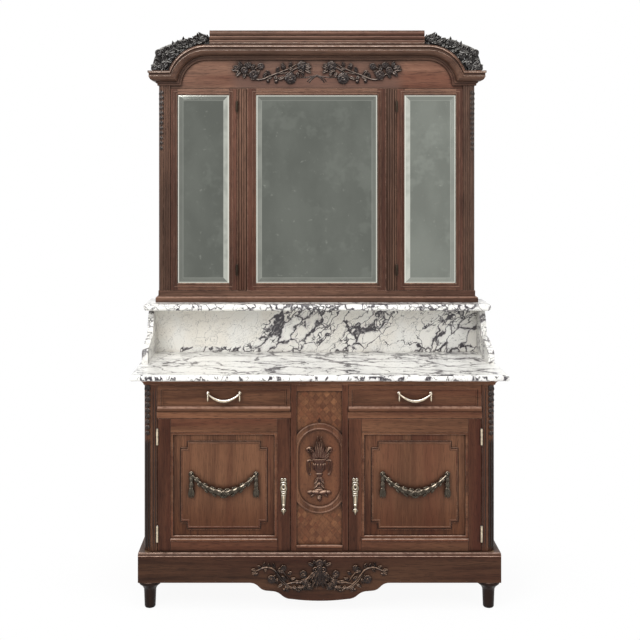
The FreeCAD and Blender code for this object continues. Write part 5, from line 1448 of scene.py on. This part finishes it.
# One half of the apron's branch, as in FRIEZE_LEAVES and FRIEZE_STEMS.
APRON_LEAVES = (
    (19, 163, 18, 24, 12, 20, 3, 2), (14, 168, 60, 18, 10, 20, 3, 1),
    (33, 116, 200, 14, 8, 0, 2, 1), (70, 106, 172, 26, 13, 15, 4, 2),
    (92, 106, 184, 28, 11, -10, 3, 2), (120, 108, 64, 24, 11, -30, 3, 2),
    (146, 133, 96, 26, 9, 20, 3, 1), (160, 150, 82, 24, 8, -15, 3, 1),
    (128, 140, 70, 26, 12, 20, 4, 2), (126, 139, 25, 22, 10, -20, 3, 2),
    (112, 128, 120, 20, 10, 20, 3, 2), (104, 112, 150, 20, 9, 10, 3, 2),
    (178, 153, 70, 20, 8, 30, 3, 1), (199, 155, 96, 22, 7, 12, 3, 1),
    (206, 151, 48, 20, 8, -20, 3, 1), (223, 144, 28, 22, 8, -30, 3, 1),
    (226, 142, -40, 18, 8, 20, 2, 1), (190, 154, -70, 16, 8, 20, 2, 1),
    (166, 126, -20, 18, 9, 20, 3, 1), (150, 118, -70, 20, 9, -20, 3, 2),
    (132, 98, -40, 20, 10, 20, 3, 2), (118, 88, 250, 20, 10, 15, 3, 2),
    (96, 90, 210, 24, 11, 20, 3, 2), (80, 88, 190, 22, 10, -20, 3, 2),
    (60, 96, 240, 22, 11, 20, 3, 2), (48, 108, 260, 24, 11, -10, 3, 2),
    (58, 118, 60, 16, 9, 20, 3, 1), (44, 120, 30, 18, 9, 15, 3, 1),
    (36, 92, 220, 18, 10, 20, 3, 2), (28, 100, 285, 24, 11, 10, 3, 2),
)

# The leaves that hang from the middle of the apron, as in APRON_LEAVES.
APRON_HUSK = (
    (0, 150, 270, 62, 17, 0, 5, 5), (6, 149, 288, 56, 14, -8, 4, 4),
    (12, 146, 305, 48, 13, -14, 4, 4), (16, 140, 322, 38, 12, -18, 3, 3),
    (4, 132, 278, 52, 14, 6, 6, 4), (10, 126, 296, 44, 12, -4, 6, 3),
)

APRON_STEMS = (
    (((24, 140), (38, 122), (58, 108), (92, 103), (120, 96)), 3.4),
    (((62, 84), (98, 84), (122, 100), (146, 128), (160, 146), (178, 155), (200, 155),
      (222, 145), (244, 136)), 3.2),
    (((92, 78), (112, 86), (138, 108), (156, 138), (166, 152)), 2.4),
    (((58, 108), (60, 120), (58, 132)), 1.8), (((156, 130), (166, 122), (171, 116)), 1.6),
    (((100, 100), (112, 118), (128, 138), (138, 152)), 1.8),
)


class WASHSTAND_OT_apron_carving(bpy.types.Operator):
    """A hanging cluster of leaves with a flowering branch on each side, on the plinth"""

    bl_idname = "washstand.apron_carving"
    bl_label = "Apron carving"

    def execute(self, context):
        ground = box_mm("apron_carving")[1][1] + 0.4
        grown = np.array(APRON_LEAVES, dtype=float) * (1, 1, 1, 1.05, 1.3, 1, 1.4, 1)
        half = leaves(grown, ground, 5.0, 0.85, 1.5, 2.2)
        for line, radius in APRON_STEMS:
            half += stem(line, ground, radius * 1.1, 1.3, 2.6, 30, 8, 0.5)
        half += rose(51, 104, 14, ground, 2.0, 10) + rose(37, 89, 14, ground, 2.0, 35)
        for x, z, radius, turn in ((58, 134, 13, 20), (171, 115, 15, 50), (128, 155, 11, 0)):
            half += flower(x, z, radius, ground, 5, 3.0, turn)
        half += hoop(14, 148, ground, 8.0, 3.2, 5.0)
        half += beads(
            [(14, 148, 0, 4, 4, 5, 4), (120, 84, 0, 5, 5, 5, 2), (126, 77, 0, 5, 5, 5, 2),
             (113, 77, 0, 5, 5, 5, 2), (66, 78, 0, 5, 5, 5, 2), (74, 73, 0, 5, 5, 5, 2),
             (157, 108, 0, 6, 5, 5, 2), (225, 132, -30, 8, 5, 5, 2)],
            ground,
        )
        half += leaves(APRON_HUSK[1:], ground, 4.6, 0.75, 1.4, 3.0, 16)
        whole = mirrored(half) + leaves(APRON_HUSK[:1], ground, 5.0, 0.75, 1.4, 3.6, 18)
        whole += flower(0, 172, 14, ground, 5, 4.0, 90)
        whole += flower(0, 157, 10, ground, 6, 6.0, 90)
        make_piece(
            "apron_branches", whole, "stand", "Carved apron", ["apron_carving"]
        )
        return {"FINISHED"}


# One half of the flames and leaves above the urn, as in FRIEZE_LEAVES.
URN_FLAMES = (
    (2, 530, 91, 92, 13, -10, 6, 1), (7, 530, 80, 72, 13, 18, 6, 1),
    (12, 530, 66, 54, 12, 16, 6, 1), (17, 530, 50, 36, 11, 22, 5, 1),
    (6, 552, 76, 48, 11, 20, 8, 1), (14, 548, 58, 38, 10, -24, 8, 1),
)

# The urn's heights and half widths.
URN_PROFILE = (
    (534, 0), (534, 25), (530, 26.5), (527, 24), (523, 20), (515, 20.5), (504, 21), (494, 18),
    (487, 11), (484, 9), (481, 13), (478, 13), (475, 8), (468, 7), (466, 10), (462, 10),
    (459, 7), (451, 6.5), (449, 9), (445, 9), (442, 6.5), (436, 7), (434, 14), (430, 14.5),
    (428, 12), (425, 16), (419, 17), (417, 0),
)


class WASHSTAND_OT_urn_medallion(bpy.types.Operator):
    """An urn with scrolled flames, hanging handles and a lobed foot, in the medallion"""

    bl_idname = "washstand.urn_medallion"
    bl_label = "Urn medallion"

    def execute(self, context):
        ground = box_mm("urn_carving")[1][1] + 0.4
        half = leaves(URN_FLAMES, ground, 5.0, 0.7, 1.8, 3.0, 14)
        scroll = ((10, 534), (20, 548), (28, 564), (35, 574), (43, 570), (41, 562), (36, 563))
        half += stem(scroll, ground, 4.6, 1.2, 3.6, 34, 10, 0.6)
        handle = ((22, 528), (34, 530), (42, 526), (43, 508), (41, 490), (35, 478), (30, 482))
        half += stem(handle, ground, 3.2, 1.0, 2.6, 30, 8, 0.6)
        half += stem(((34, 529), (32, 512), (33, 498), (30, 488)), ground, 2.2, 0.9, 2.0)
        half += leaves(
            [(4, 470, -66, 30, 10, 20, 4, 1), (4, 450, -60, 26, 9, 24, 4, 1)],
            ground, 4.0, 0.8, 1.2, 3.4,
        )
        half += beads(
            [(13, 415, 12, 15, 8, 8.5, 5), (33, 415, -14, 10.5, 7, 7, 3),
             (24, 404, -40, 10, 4.5, 4.5, 2)],
            ground, 10, 12,
        )
        whole = mirrored(half) + bowl(URN_PROFILE, 0.0, ground, 0.5)
        v = np.linspace(0.12, 0.88, 6) * np.pi
        lobes = rows_of(22 * np.cos(v), 508, 90, 12, 3.8, 3.4, 10.5 * np.sin(v))
        whole += beads(lobes, ground)
        whole += beads([(0, 391, 90, 9, 8, 7, 1.5), (0, 401, 0, 9, 4, 5, 3),
                        (0, 443, 90, 8, 6, 7, 3)], ground)
        make_piece(
            "urn_relief", whole, "stand", "Carved medallion", ["urn_carving"]
        )
        return {"FINISHED"}


# The ring's section: share of the way from the inner oval to the outer, shift outwards, depth.
RING_PROFILE = (
    (0.0, 0.0, 217.5), (0.0, 0.0, 224.0), (0.0, 1.5, 226.5), (0.0, 4.0, 227.5),
    (0.0, 6.5, 226.5), (0.0, 7.5, 225.4), (0.6, 4.0, 225.6), (1.0, -6.0, 225.6),
    (1.0, -4.5, 227.0), (1.0, -2.5, 227.6), (1.0, -0.6, 226.6), (1.0, 0.0, 224.6),
    (1.0, 0.0, 217.5),
)


class WASHSTAND_OT_medallion_ring(bpy.types.Operator):
    """The oval moulding round the urn, level with the frame at its sides"""

    bl_idname = "washstand.medallion_ring"
    bl_label = "Medallion ring"

    def execute(self, context):
        make_piece(
            "medallion_moulding", self.band(75.0, 99.0, 81.9, 440.0, 565.0, RING_PROFILE),
            "stand", "Walnut medallion ring", ["medallion_ring"], crease=40,
        )
        return {"FINISHED"}

    def band(self, inner, outer, half_width, low, high, profile):
        """A ring between two ovals, the outer one cut off at the half width.

        A profile row is share, shift and depth: the point lies the share of the way from the
        inner oval to the outer one, moved outwards by the shift, at the depth.
        """
        angle = (np.arange(96) + 0.5) / 96 * 2 * np.pi
        middle = np.where(np.sin(angle) > 0, high, low)
        way = np.column_stack([np.cos(angle), np.sin(angle)])
        near = way * inner
        far = way * outer
        far[:, 0] = np.clip(far[:, 0], -half_width, half_width)
        share, shift, depth = np.array(profile).T
        spread = near[:, None] * (1 - share[:, None]) + far[:, None] * share[:, None]
        spread = spread + way[:, None] * shift[:, None]
        px = np.clip(spread[..., 0], -half_width, half_width)
        return block(px, -depth, spread[..., 1] + middle[:, None], "ring")


# A foot's heights and half widths.
FOOT_PROFILE = (
    (0, 0), (0, 14.5), (1.5, 17.5), (5, 19.5), (25, 20.4), (50, 21.2), (66, 22), (70, 23.4),
    (73, 25.4), (77, 27.6), (80, 30), (83, 34), (86, 38), (89, 40), (92, 40.4), (96, 40.4),
    (98, 40), (100, 38.5), (100, 0),
)


class WASHSTAND_OT_turned_feet(bpy.types.Operator):
    """Round feet: a ring, a cushion and a tapering leg"""

    bl_idname = "washstand.turned_feet"
    bl_label = "Turned feet"

    def execute(self, context):
        blocks = []
        for x, y in FEET:
            blocks += bowl(FOOT_PROFILE, x, y, 1.0, 40)
        make_piece("turned_feet", blocks, "stand", "Walnut feet", ["feet"])
        return {"FINISHED"}


class WASHSTAND_OT_head_bead(bpy.types.Operator):
    """Beads along the arch and its shoulders, at the foot of the crown and on the plinth"""

    bl_idname = "washstand.head_bead"
    bl_label = "Head bead"

    def execute(self, context):
        self.head()
        self.plinth()
        return {"FINISHED"}

    def head(self):
        face = box_mm("cornice")[0][1]
        reach, rise, end = 147.0, 46.0, 661.0
        arc = on_arch(reach, np.linspace(math.asin(rise / reach), np.pi / 2, 20))
        shoulder = ARCH_Z + rise
        path = np.concatenate([[(-end, shoulder)], arc * (-1, 1), arc[::-1], [(end, shoulder)]])
        blocks = moulding(path, round_profile(5.0, 2.6), face, closed=False)
        blocks += moulding(path - (0.0, 13.0), round_profile(3.0, 1.6), face + 5.9, closed=False)
        crown = box_mm("corner_carvings")[1][1] - 34.0
        blocks += self.level(420.0, 2064.5, round_profile(5.0, 5.0), crown)
        make_piece("head_bead", blocks, "stand", "Walnut head beads", crease=60)

    def plinth(self):
        half = box_mm("plinth_front")[1][0] - 1.0
        blocks = self.level(half, 202.2, round_profile(2.2, 2.2), -237.4)
        blocks += self.level(half, 192.6, round_profile(2.6, 1.2), -245.0)
        make_piece("plinth_lines", blocks, "stand", "Walnut sills", crease=60)

    def level(self, half, height, profile, ground):
        """A straight moulding across the front."""
        return moulding(((-half, height), (half, height)), profile, ground, closed=False)


class WASHSTAND_OT_post_leafage(bpy.types.Operator):
    """Husks and reeds carved on the outer strips of the posts"""

    bl_idname = "washstand.post_leafage"
    bl_label = "Post carvings"

    def execute(self, context):
        body = self.strip(616.5, -222.0, 800, 9, 20.5, 17.0)
        body += self.reeds((609.5, 616.5, 623.0), -222.3, 208, 610, 2.4)
        body += self.reeds((586.5, 595.5), -225.3, 212, 796, 1.5)
        head = self.strip(614.0, 162.5, 1884, 12, 20.0, 13.0)
        for name, blocks in (("corner_post_leafage", body), ("mirror_post_leafage", head)):
            make_piece(name, mirrored(blocks), "stand", "Carved posts")
        return {"FINISHED"}

    def strip(self, x, ground, top, count, pitch, width):
        """Pairs of leaves that hang one below the other, count of them at the pitch."""
        z = top - pitch * np.arange(count)
        fade = np.linspace(1.0, 0.75, count)
        rows = []
        for heading, share, curl in ((228, 0.9, 40), (312, 0.9, -40), (270, 1.0, 0)):
            long = pitch * 1.15 * share * fade
            rows.append(rows_of(x, z, heading, long, width * 0.62 * fade, curl, 1.6, 2))
        blocks = leaves(np.concatenate(rows), ground, 2.6, 0.8, 0.6, 0.4, 9, 10)
        return blocks + beads(rows_of(x, z - 1, 0, 2.2, 2.2, 2.2, 2.2), ground, 6, 8)

    def reeds(self, places, ground, low, high, radius):
        """An upright reed at each place."""
        blocks = []
        for x in places:
            heights = (low, low * 0.66 + high * 0.34, low * 0.33 + high * 0.67, high)
            line = [(x, height) for height in heights]
            blocks += stem(line, ground, radius, 0.8, 0.0, 24, 8, 1.0)
        return blocks


# The bead's section on a door panel's field: the way in from its edge, and the way out.
BEAD_PROFILE = ((1.0, -1.0), (1.0, 4.0), (2.6, 4.9), (4.6, 4.9), (6.0, 3.9), (6.0, -1.0))


class WASHSTAND_OT_door_mouldings(bpy.types.Operator):
    """Beads on the edges of the door panels' notched fields"""

    bl_idname = "washstand.door_mouldings"
    bl_label = "Door mouldings"

    def execute(self, context):
        for side in SIDES:
            field = notched(*inset(f"door_{side}_panel", 37), 24)
            blocks = moulding(field, BEAD_PROFILE, FIELD_FACE)
            make_piece(
                f"door_{side}_beads", blocks, f"door_{side}", "Walnut beads", crease=35
            )
        return {"FINISHED"}


class WASHSTAND_OT_drawer_mouldings(bpy.types.Operator):
    """A cove inside the raised edge of each drawer front"""

    bl_idname = "washstand.drawer_mouldings"
    bl_label = "Drawer mouldings"

    def execute(self, context):
        for side in SIDES:
            recess = rectangle(*inset(f"drawer_{side}_front", 14))
            blocks = moulding(recess, cove_profile(6.0, 3.2), DRAWER_FACE)
            make_piece(
                f"drawer_{side}_beads", blocks, f"drawer_{side}", "Walnut beads",
                crease=35,
            )
        return {"FINISHED"}


class WASHSTAND_OT_mirror_mouldings(bpy.types.Operator):
    """Raised lips round the three mirrors and reeds on the mullions between them"""

    bl_idname = "washstand.mirror_mouldings"
    bl_label = "Mirror mouldings"

    def execute(self, context):
        panes = (("wing_left", "wing_left_glass", "wing_left"),
                 ("wing_right", "wing_right_glass", "wing_right"),
                 ("centre_mirror", "center_glass", "stand"))
        for name, glass, body in panes:
            lip = rectangle(*inset(glass, -4.5))
            outer = rectangle(*inset(glass, -15))
            blocks = moulding(lip, round_profile(4.4, 2.2), MIRROR_FACE)
            blocks += moulding(outer, round_profile(3.6, 1.6), MIRROR_FACE)
            make_piece(f"{name}_beads", blocks, body, "Walnut mirror beads", crease=35)
        blocks = []
        for x in (278.5, 288.0, 297.5):
            path = ((x + 9.0, 1096.0), (x + 9.0, 1890.0))
            blocks += moulding(path, round_profile(9.0, 3.2), MIRROR_FACE, closed=False)
        make_piece(
            "mullion_reeds", mirrored(blocks), "stand", "Walnut mullions", crease=35
        )
        return {"FINISHED"}


def garland_line(centre, height, span, sag, count):
    """The way out, points and headings of a hanging line.

    With t from -1 at the left end to 1 at the right, it hangs by sag * (1 - t ** 2).
    """
    t = np.linspace(-1.0, 1.0, count)
    x = centre + span * t
    z = height - sag * (1 - t**2)
    return t, x, z, np.degrees(np.arctan2(2 * sag * t, span))


def strand(centre, height, span, sag, ground, radius, flat, stand, taper):
    """The swelling stem of a garland."""
    _, x, z, _ = garland_line(centre, height, span, sag, 25)
    return stem(rows_of(x, z), ground, radius, flat, stand, 60, 14, taper)


def swell(t):
    """A garland's radius as a share of its middle's: 0.42 + 0.58 * cos(t * pi / 2)."""
    return 0.42 + 0.58 * np.cos(t * np.pi / 2)


class WASHSTAND_OT_door_garlands(bpy.types.Operator):
    """A laurel garland on each door, with a ring at each end and a tassel below it"""

    bl_idname = "washstand.door_garlands"
    bl_label = "Door garlands"

    def execute(self, context):
        for side, way in HALVES:
            blocks = self.garland(way * DOOR_MIDDLE, 482.5, 116.0, 65.5, GARLAND_BACK)
            make_piece(
                f"door_{side}_garland", blocks, f"door_{side}", "Bronze",
                [f"door_{side}_swag"],
            )
        return {"FINISHED"}

    def garland(self, centre, height, span, sag, ground):
        """Overlapping leaves that point to the middle, on a strand that swells there."""
        thick = 10.8
        blocks = strand(centre, height, span, sag, ground, thick, 0.8, 12.0, 0.38)
        count = 19
        t, x, z, slope = garland_line(centre, height, span, sag, count)
        radius = thick * swell(t)
        toward = np.where(t > 0, 180.0, 0.0)
        heading = np.radians(slope)
        for spread, first in ((-66, 0), (-24, 1), (24, 0), (66, 1)):
            bend = np.radians(spread)
            shift = radius * math.sin(bend)
            rows = rows_of(
                x - np.sin(heading) * shift, z + np.cos(heading) * shift,
                slope + toward - np.sign(t) * spread * 0.25, 12.0 + radius * 0.9,
                3.0 + radius * 0.62, 0.0, 2.0, 0.0,
            )
            stand = 10.5 + 0.75 * radius * math.cos(bend)
            chosen = (np.abs(t) < 0.96) & (np.arange(count) % 2 == first)
            blocks += leaves(rows[chosen], ground, 3.2, 0.7, 0.4, stand[chosen, None, None], 8, 10)
        middle = height - sag
        blocks += beads([(centre, middle, 90, 11.0, 4.2, 4.0, 20.0),
                         (centre - 9, middle + 1, 60, 7.0, 3.6, 3.4, 19.0),
                         (centre + 9, middle + 1, 120, 7.0, 3.6, 3.4, 19.0)], ground)
        for end in (-1, 1):
            blocks += self.tassel(centre + end * span, height + 1.5, ground)
        return blocks

    def tassel(self, x, z, ground):
        """A ring on a stud, and below it three husks, the lowest the longest."""
        blocks = hoop(x, z, ground, 6.8, 2.8, 12.0)
        blocks += beads([(x, z, 0, 4.0, 4.0, 10.0, 9.0), (x, z, 0, 4.4, 4.4, 3.6, 15.0)], ground)
        blocks += stem(((x, z - 6), (x, z - 30), (x, z - 60), (x, z - 84)), ground, 4.4, 1.0, 9.0,
                       24, 8, 0.9)
        for foot, length, width in ((8, 22, 8.0), (27, 24, 9.5), (48, 40, 11.0)):
            husk = [(x, z - foot, heading, length, width, curl, lift, 0)
                    for heading, curl, lift in ((246, 30, 2), (294, -30, 2), (270, 0, 5))]
            blocks += leaves(husk, ground, 3.2, 0.75, 0.8, 10.0, 10, 10)
            blocks += beads([(x, z - foot - 2, 0, width * 0.7, 2.2, 4.0, 12.0)], ground)
        return blocks


class WASHSTAND_OT_drawer_pulls(bpy.types.Operator):
    """A polished swag on two studs on each drawer, with a drop below each stud"""

    bl_idname = "washstand.drawer_pulls"
    bl_label = "Drawer pulls"

    def execute(self, context):
        for side, way in HALVES:
            blocks = self.swag(way * DOOR_MIDDLE, 771.5, 57.0, 26.0, DRAWER_FACE)
            make_piece(
                f"drawer_{side}_swag", blocks, f"drawer_{side}", "Brass",
                [f"drawer_{side}_pull"],
            )
        return {"FINISHED"}

    def swag(self, centre, height, span, sag, ground):
        """A smooth swelling strand with five collars, its studs and their drops."""
        thick = 6.0
        blocks = strand(centre, height, span, sag, ground, thick, 0.85, 16.0, 0.42)
        t, x, z, slope = garland_line(centre, height, span, sag, 61)
        radius = thick * swell(t)
        for first in (-0.26, -0.13, 0.0, 0.13, 0.26):
            k = int(round((first + 1) * 30))
            blocks += beads([(x[k], z[k], slope[k] + 90 + first * 130, radius[k] * 1.12, 1.7,
                              radius[k] * 1.08, 16.0)], ground)
        for end in (-1, 1):
            px = centre + end * span
            blocks += beads([(px, height, 0, 5.4, 5.4, 1.6, 0.6),
                             (px, height, 0, 2.8, 2.8, 11.0, 9.0),
                             (px, height, 0, 4.6, 4.6, 4.2, 17.0),
                             (px, height - 8.5, 90, 4.0, 3.2, 3.2, 15.0),
                             (px, height - 19.0, 90, 9.0, 3.0, 2.8, 14.5)], ground)
        return blocks


class WASHSTAND_OT_escutcheons(bpy.types.Operator):
    """Raised work on the key plates: a crown, a rim round the keyhole, collars and a tail"""

    bl_idname = "washstand.escutcheons"
    bl_label = "Key plates"

    def execute(self, context):
        for side, way in HALVES:
            blocks = self.crest(way * KEYHOLE_X, KEY_PLATE_FACE)
            make_piece(f"door_{side}_key_crest", blocks, f"door_{side}", "Brass")
        return {"FINISHED"}

    def crest(self, x, ground):
        """A ring round the keyhole, two small rings above it, and the collars and tail."""
        blocks = hoop(x, 436.5, ground, 6.6, 1.7, 0.2, 1.35)
        for way in (-1, 1):
            blocks += hoop(x + way * 5.4, 464.0, ground, 3.4, 1.3, 0.1)
        collars = [(x, 452.6, 0, 8.5, 1.7, 1.6, 0.1), (x, 419.5, 0, 8.2, 1.5, 1.5, 0.1),
                   (x, 412.0, 0, 6.6, 2.6, 1.8, 0.1), (x, 405.6, 0, 8.0, 1.4, 1.4, 0.1),
                   (x, 388.0, 90, 17.0, 3.2, 1.2, 0.0), (x, 371.5, 0, 5.0, 3.4, 2.6, 0.0),
                   (x, 352.0, 90, 9.0, 3.0, 1.8, 0.0), (x, 356.0, 0, 7.5, 1.8, 1.4, 0.0)]
        return blocks + beads(collars, ground)


class WASHSTAND_PT_panel(bpy.types.Panel):
    """Lists the steps that build the washstand"""

    bl_idname = "WASHSTAND_PT_panel"
    bl_label = "Washstand"
    bl_space_type = "VIEW_3D"
    bl_region_type = "UI"
    bl_category = "Washstand"

    def draw(self, context):
        for group in SETTINGS:
            box = self.layout.box()
            settings = getattr(context.scene, group)
            for key in settings.__annotations__:
                box.prop(settings, key)
        for step in STEPS:
            self.layout.operator(step.bl_idname)


SETTINGS = {
    "washstand_wood": WoodSettings,
    "washstand_marble": MarbleSettings,
    "washstand_metal": MetalSettings,
    "washstand_glass": GlassSettings,
    "washstand_stage": StageSettings,
}

STEPS = (
    WASHSTAND_OT_stage,
    WASHSTAND_OT_finishes,
    WASHSTAND_OT_corner_carvings,
    WASHSTAND_OT_frieze_carving,
    WASHSTAND_OT_apron_carving,
    WASHSTAND_OT_urn_medallion,
    WASHSTAND_OT_medallion_ring,
    WASHSTAND_OT_turned_feet,
    WASHSTAND_OT_head_bead,
    WASHSTAND_OT_post_leafage,
    WASHSTAND_OT_door_mouldings,
    WASHSTAND_OT_drawer_mouldings,
    WASHSTAND_OT_mirror_mouldings,
    WASHSTAND_OT_door_garlands,
    WASHSTAND_OT_drawer_pulls,
    WASHSTAND_OT_escutcheons,
)


def register():
    for group in (*SETTINGS.values(), *STEPS, WASHSTAND_PT_panel):
        bpy.utils.register_class(group)
    for name, group in SETTINGS.items():
        setattr(bpy.types.Scene, name, bpy.props.PointerProperty(type=group))


def unregister():
    for name in SETTINGS:
        delattr(bpy.types.Scene, name)
    for group in (WASHSTAND_PT_panel, *reversed(STEPS), *reversed(SETTINGS.values())):
        bpy.utils.unregister_class(group)


def main():
    register()
    for step in STEPS:
        section, label = step.bl_idname.split(".")
        getattr(getattr(bpy.ops, section), label)()


if __name__ == "__main__":
    main()
